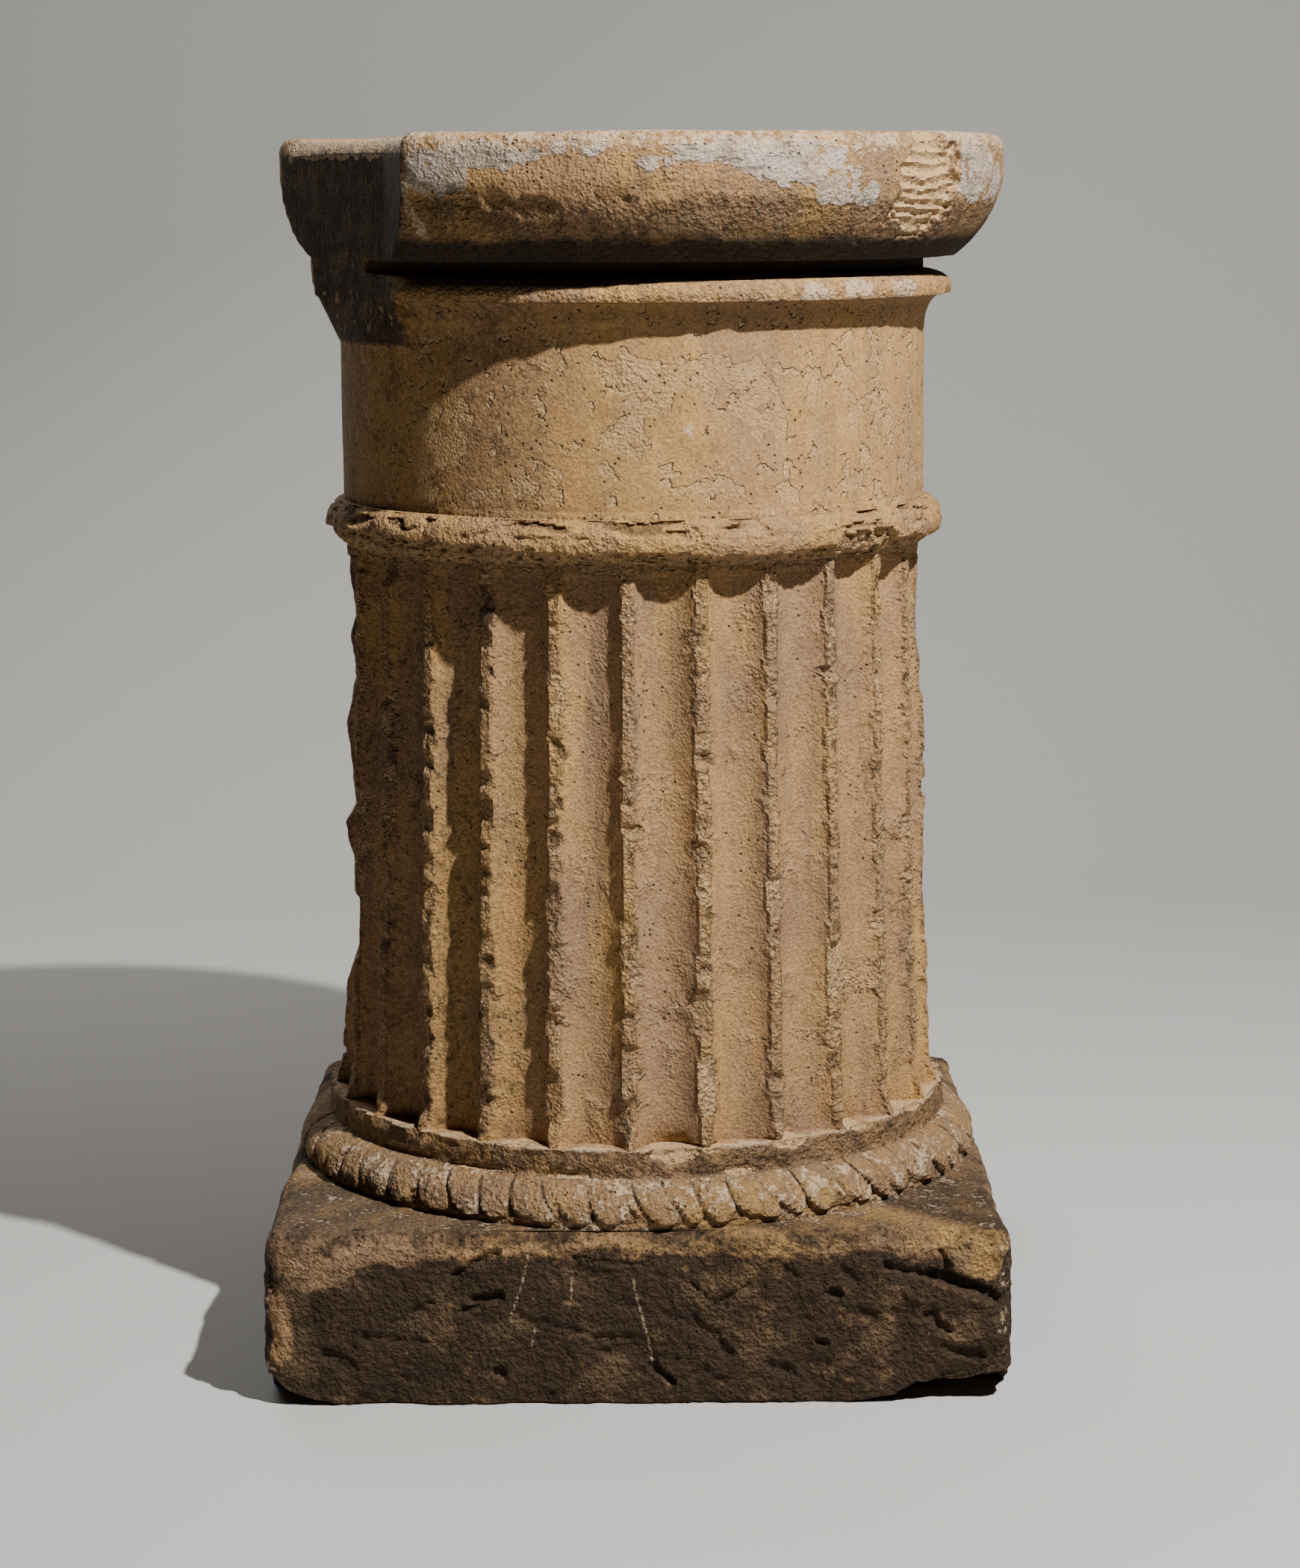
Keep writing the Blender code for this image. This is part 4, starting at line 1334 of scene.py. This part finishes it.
def stone_colour(finish, parts, colours):
    """Warm stone in bands, under patina, lime and dust, with breaks and grain, and with painted shade in
    hollows, pits and recesses.
    """
    clouds = finish.noise(6.0, 3.0)
    veils = finish.noise(14.0, 4.0, 0.6, (1.0, 1.0, 0.22), (4.0, 2.0, 7.0))
    bands = finish.noise(52.0, 3.0, 0.55, (1.0, 1.0, 0.10), (1.0, 5.0, 2.0))
    flaked = finish.limit(parts.flake * 0.42 + parts.worn * 0.12 + parts.rim * 0.34)
    layers = (
        (finish.mask(clouds, 0.42, 0.64) * (0.55 - 0.25 * parts.skin), colours.grey),
        (finish.mask(veils, 0.46, 0.62) * 0.75, colours.ochre),
        (finish.mask(bands, 0.50, 0.68) * (0.6 - 0.35 * parts.skin), colours.grey),
        (parts.brown * 0.98, colours.brown),
        (parts.lime * (0.62 + 0.30 * finish.mask(parts.mottle, 0.40, 0.58)), colours.lime),
        (parts.pale * 0.85, colours.pale),
        (flaked, colours.fresh),
        (parts.fresh * 0.9, colours.fresh),
        (parts.scratch * 0.45, colours.pale),
    )
    shade = opaque(colours.warm)
    for share, colour_over in layers:
        shade = finish.mix(share, shade, opaque(colour_over))
    grain = finish.node(
        "ShaderNodeValToRGB",
        {"stops": [(0.36, (0.50, 0.48, 0.46, 1)), (0.64, (1.30, 1.30, 1.30, 1))]},
        {"Fac": 0.65 * parts.speckle + 0.10 * parts.lumps + 0.25 * parts.mottle},
    )
    shade = finish.mix(0.85, shade, grain, "MULTIPLY")
    # Darker in the low spots of rough places, in pits, in fissures and in the low streaks on the cut, as
    # painted shade in the relief's hollows, added to the painted shade stain
    dirt_and_shade = 0.55 * finish.mask(parts.lumps, 0.50, 0.34) * parts.rough + 0.8 * parts.pits
    dirt_and_shade = dirt_and_shade + 0.35 * parts.fissures + 0.2 * parts.cut * finish.mask(parts.streaks, 0.50, 0.38)
    return finish.mix(finish.limit(dirt_and_shade + 0.9 * parts.dark), shade, opaque(colours.dirt_and_shade))


def stone_relief(parts):
    """Height of the fine relief in mm: grain everywhere, pecking in rough places, and what flaked off."""
    fine = (0.5 * parts.grains + 0.9 * parts.speckle) * (1 - 0.45 * parts.skin)
    gritty = parts.flake * (0.9 - 0.4 * parts.skin) + parts.rough * 0.9 + parts.worn * 0.7 + parts.fresh * 0.2
    coarse = gritty * (parts.grains + 0.9 * parts.speckle) + 1.1 * parts.worn * parts.pecks
    coarse = coarse + parts.rough * (2.6 * parts.pecks + 1.9 * parts.lumps)
    sunk = (2.6 + 0.8 * parts.skin) * parts.flake + 0.3 * parts.worn
    sunk = sunk + 2.0 * parts.pits + 1.6 * parts.fissures
    return fine + coarse + 1.8 * parts.cut * parts.streaks + 1.2 * parts.mottle + 0.6 * parts.lime - sunk


def stone_finish(colours):
    """Warm, coarse, weathered stone with pits, pecking, patina and pale worn places."""
    finish = Finish("weathered_stone")
    parts = StoneTextures(finish)
    finish.set("Base Color", stone_colour(finish, parts, colours))
    finish.set("Roughness", 0.90 - 0.16 * parts.lime)
    finish.set("Specular IOR Level", 0.22)
    bump = {"Strength": 1.0, "Distance": MM, "Height": stone_relief(parts)}
    finish.set("Normal", finish.node("ShaderNodeBump", {}, bump))
    return finish.material


class OBJECT_OT_carve_column(bpy.types.Operator):
    """Carve the column from one turned grid and give it its stone"""

    bl_idname = "object.carve_column"
    bl_label = "Carve Column"

    def execute(self, context):
        sizes = context.scene.column_sizes
        courses = Courses(sizes)
        profile = column_profile(sizes, courses)
        columns = column_azimuths(sizes)
        bm = turned_grid(profile, len(columns) - 1)
        for zone in FINER_ZONES:
            split_zone(bm, profile, sizes, columns, zone)
        mesh = bpy.data.meshes.new("carved_column")
        bm.to_mesh(mesh)
        bm.free()
        stone = Stone(sizes, courses, profile, mesh, columns)
        carve_flutes(stone)
        stop_groove(stone)
        carve_leaves(stone)
        wear_capital(stone)
        wear_neck(stone)
        wear_ring(stone)
        wear_foot(stone)
        cut_capital(stone)
        stone.place()
        square_plinth(stone)
        weather(stone, mesh)
        for name, values in stone.stains.items():
            layer = mesh.attributes.new(name, "FLOAT", "POINT")
            layer.data.foreach_set("value", values)
        mesh.shade_smooth()
        mesh.set_sharp_from_angle(angle=math.radians(42))
        mesh.materials.append(stone_finish(context.scene.stone_colours))
        column = bpy.data.objects.new("carved_column", mesh)
        context.scene.collection.objects.link(column)
        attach(column, "root")
        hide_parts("column")
        return {"FINISHED"}


# Distance of the camera from the axis, its level, and how it is turned
CAMERA_DISTANCE = 2.785
CAMERA_LEVEL = 0.882
CAMERA_PITCH = 0.1661
CAMERA_YAW = 0.0042
CAMERA_ROLL = 0.0054
# Length of the lens on a sensor whose long side is 36 mm
CAMERA_LENS = 82.08

# The floor's half width, its back edge's shift to the front, and the backdrop's height and bend
FLOOR_REACH = 6.0
FLOOR_BACK_SHIFT = -3.2
BACKDROP_HEIGHT = 6.0
BACKDROP_BEND = 1.2
# The two lights: azimuth and height in degrees, distance from the column's middle, and width
KEY_PLACE = (38, 48, 3.0, 0.08)
BACK_PLACE = (-152, 36, 2.4, 1.4)


class SCENE_OT_column_stage(bpy.types.Operator):
    """Lay the plain floor and backdrop, and set the light and the camera"""

    bl_idname = "scene.column_stage"
    bl_label = "Set Stage"

    def execute(self, context):
        looks = context.scene.stage_looks
        self.lay_floor(context, looks)
        self.light(context, looks)
        self.set_camera(context)
        return {"FINISHED"}

    def lay_floor(self, context, looks):
        bm = bmesh.new()
        bmesh.ops.create_grid(bm, x_segments=1, y_segments=1, size=FLOOR_REACH)
        back = [edge for edge in bm.edges if all(vert.co.y > 0 for vert in edge.verts)]
        bmesh.ops.translate(bm, verts=back[0].verts, vec=(0.0, FLOOR_BACK_SHIFT, 0.0))
        raised = bmesh.ops.extrude_edge_only(bm, edges=back)["geom"]
        moved = [item for item in raised if isinstance(item, bmesh.types.BMVert)]
        bmesh.ops.translate(bm, verts=moved, vec=(0.0, 0.0, BACKDROP_HEIGHT))
        bmesh.ops.bevel(
            bm, geom=back, offset=BACKDROP_BEND, segments=24, profile=0.5, affect="EDGES", material=-1
        )
        bmesh.ops.recalc_face_normals(bm, faces=bm.faces)
        mesh = bpy.data.meshes.new("floor")
        bm.to_mesh(mesh)
        bm.free()
        mesh.shade_smooth()
        finish = Finish("pale_floor")
        finish.set("Base Color", opaque(looks.floor))
        finish.set("Roughness", 0.9)
        mesh.materials.append(finish.material)
        floor = bpy.data.objects.new("floor", mesh)
        context.scene.collection.objects.link(floor)

    def light(self, context, looks):
        self.hang_light(context, "key", KEY_PLACE, looks.key)
        self.hang_light(context, "back", BACK_PLACE, looks.back)
        world = bpy.data.worlds.new("studio")
        world.use_nodes = True
        background = world.node_tree.nodes["Background"]
        background.inputs["Color"].default_value = (1.0, 1.0, 1.0, 1.0)
        background.inputs["Strength"].default_value = looks.sky
        context.scene.world = world

    def hang_light(self, context, name, place, power):
        """A round light that faces the column's middle."""
        azimuth, height, distance, width = place
        azimuth, height = math.radians(azimuth), math.radians(height)
        data = bpy.data.lights.new(name, "AREA")
        data.shape = "DISK"
        data.size = width
        data.energy = power
        lamp = bpy.data.objects.new(name, data)
        flat = math.cos(height)
        way = Vector((flat * math.sin(azimuth), -flat * math.cos(azimuth), math.sin(height)))
        lamp.location = Vector((0.0, 0.0, context.scene.column_sizes.top / 2)) + way * distance
        lamp.rotation_euler = way.to_track_quat("Z", "Y").to_euler()
        context.scene.collection.objects.link(lamp)

    def set_camera(self, context):
        data = bpy.data.cameras.new("camera")
        data.lens = CAMERA_LENS
        camera = bpy.data.objects.new("camera", data)
        camera.matrix_world = (
            Matrix.Translation((0.0, -CAMERA_DISTANCE, CAMERA_LEVEL))
            @ Matrix.Rotation(-CAMERA_YAW, 4, "Z")
            @ Matrix.Rotation(math.pi / 2 - CAMERA_PITCH, 4, "X")
            @ Matrix.Rotation(-CAMERA_ROLL, 4, "Z")
        )
        context.scene.collection.objects.link(camera)
        context.scene.camera = camera


class VIEW3D_PT_column(bpy.types.Panel):
    """Lists the column's steps and sizes"""

    bl_idname = "VIEW3D_PT_column"
    bl_label = "Fluted Column"
    bl_space_type = "VIEW_3D"
    bl_region_type = "UI"
    bl_category = "Column"

    def draw(self, context):
        layout = self.layout
        layout.operator("object.carve_column")
        layout.operator("scene.column_stage")
        scene = context.scene
        for settings in (scene.column_sizes, scene.stone_colours, scene.stage_looks):
            box = layout.box()
            for name in settings.__annotations__:
                box.prop(settings, name)


CLASSES = (
    ColumnSizes,
    StoneColours,
    StageLooks,
    OBJECT_OT_carve_column,
    SCENE_OT_column_stage,
    VIEW3D_PT_column,
)


def register():
    for item in CLASSES:
        bpy.utils.register_class(item)
    bpy.types.Scene.column_sizes = PointerProperty(type=ColumnSizes)
    bpy.types.Scene.stone_colours = PointerProperty(type=StoneColours)
    bpy.types.Scene.stage_looks = PointerProperty(type=StageLooks)


def unregister():
    del bpy.types.Scene.stage_looks
    del bpy.types.Scene.stone_colours
    del bpy.types.Scene.column_sizes
    for item in reversed(CLASSES):
        bpy.utils.unregister_class(item)


def main():
    register()
    bpy.ops.object.carve_column()
    bpy.ops.scene.column_stage()


if __name__ == "__main__":
    main()
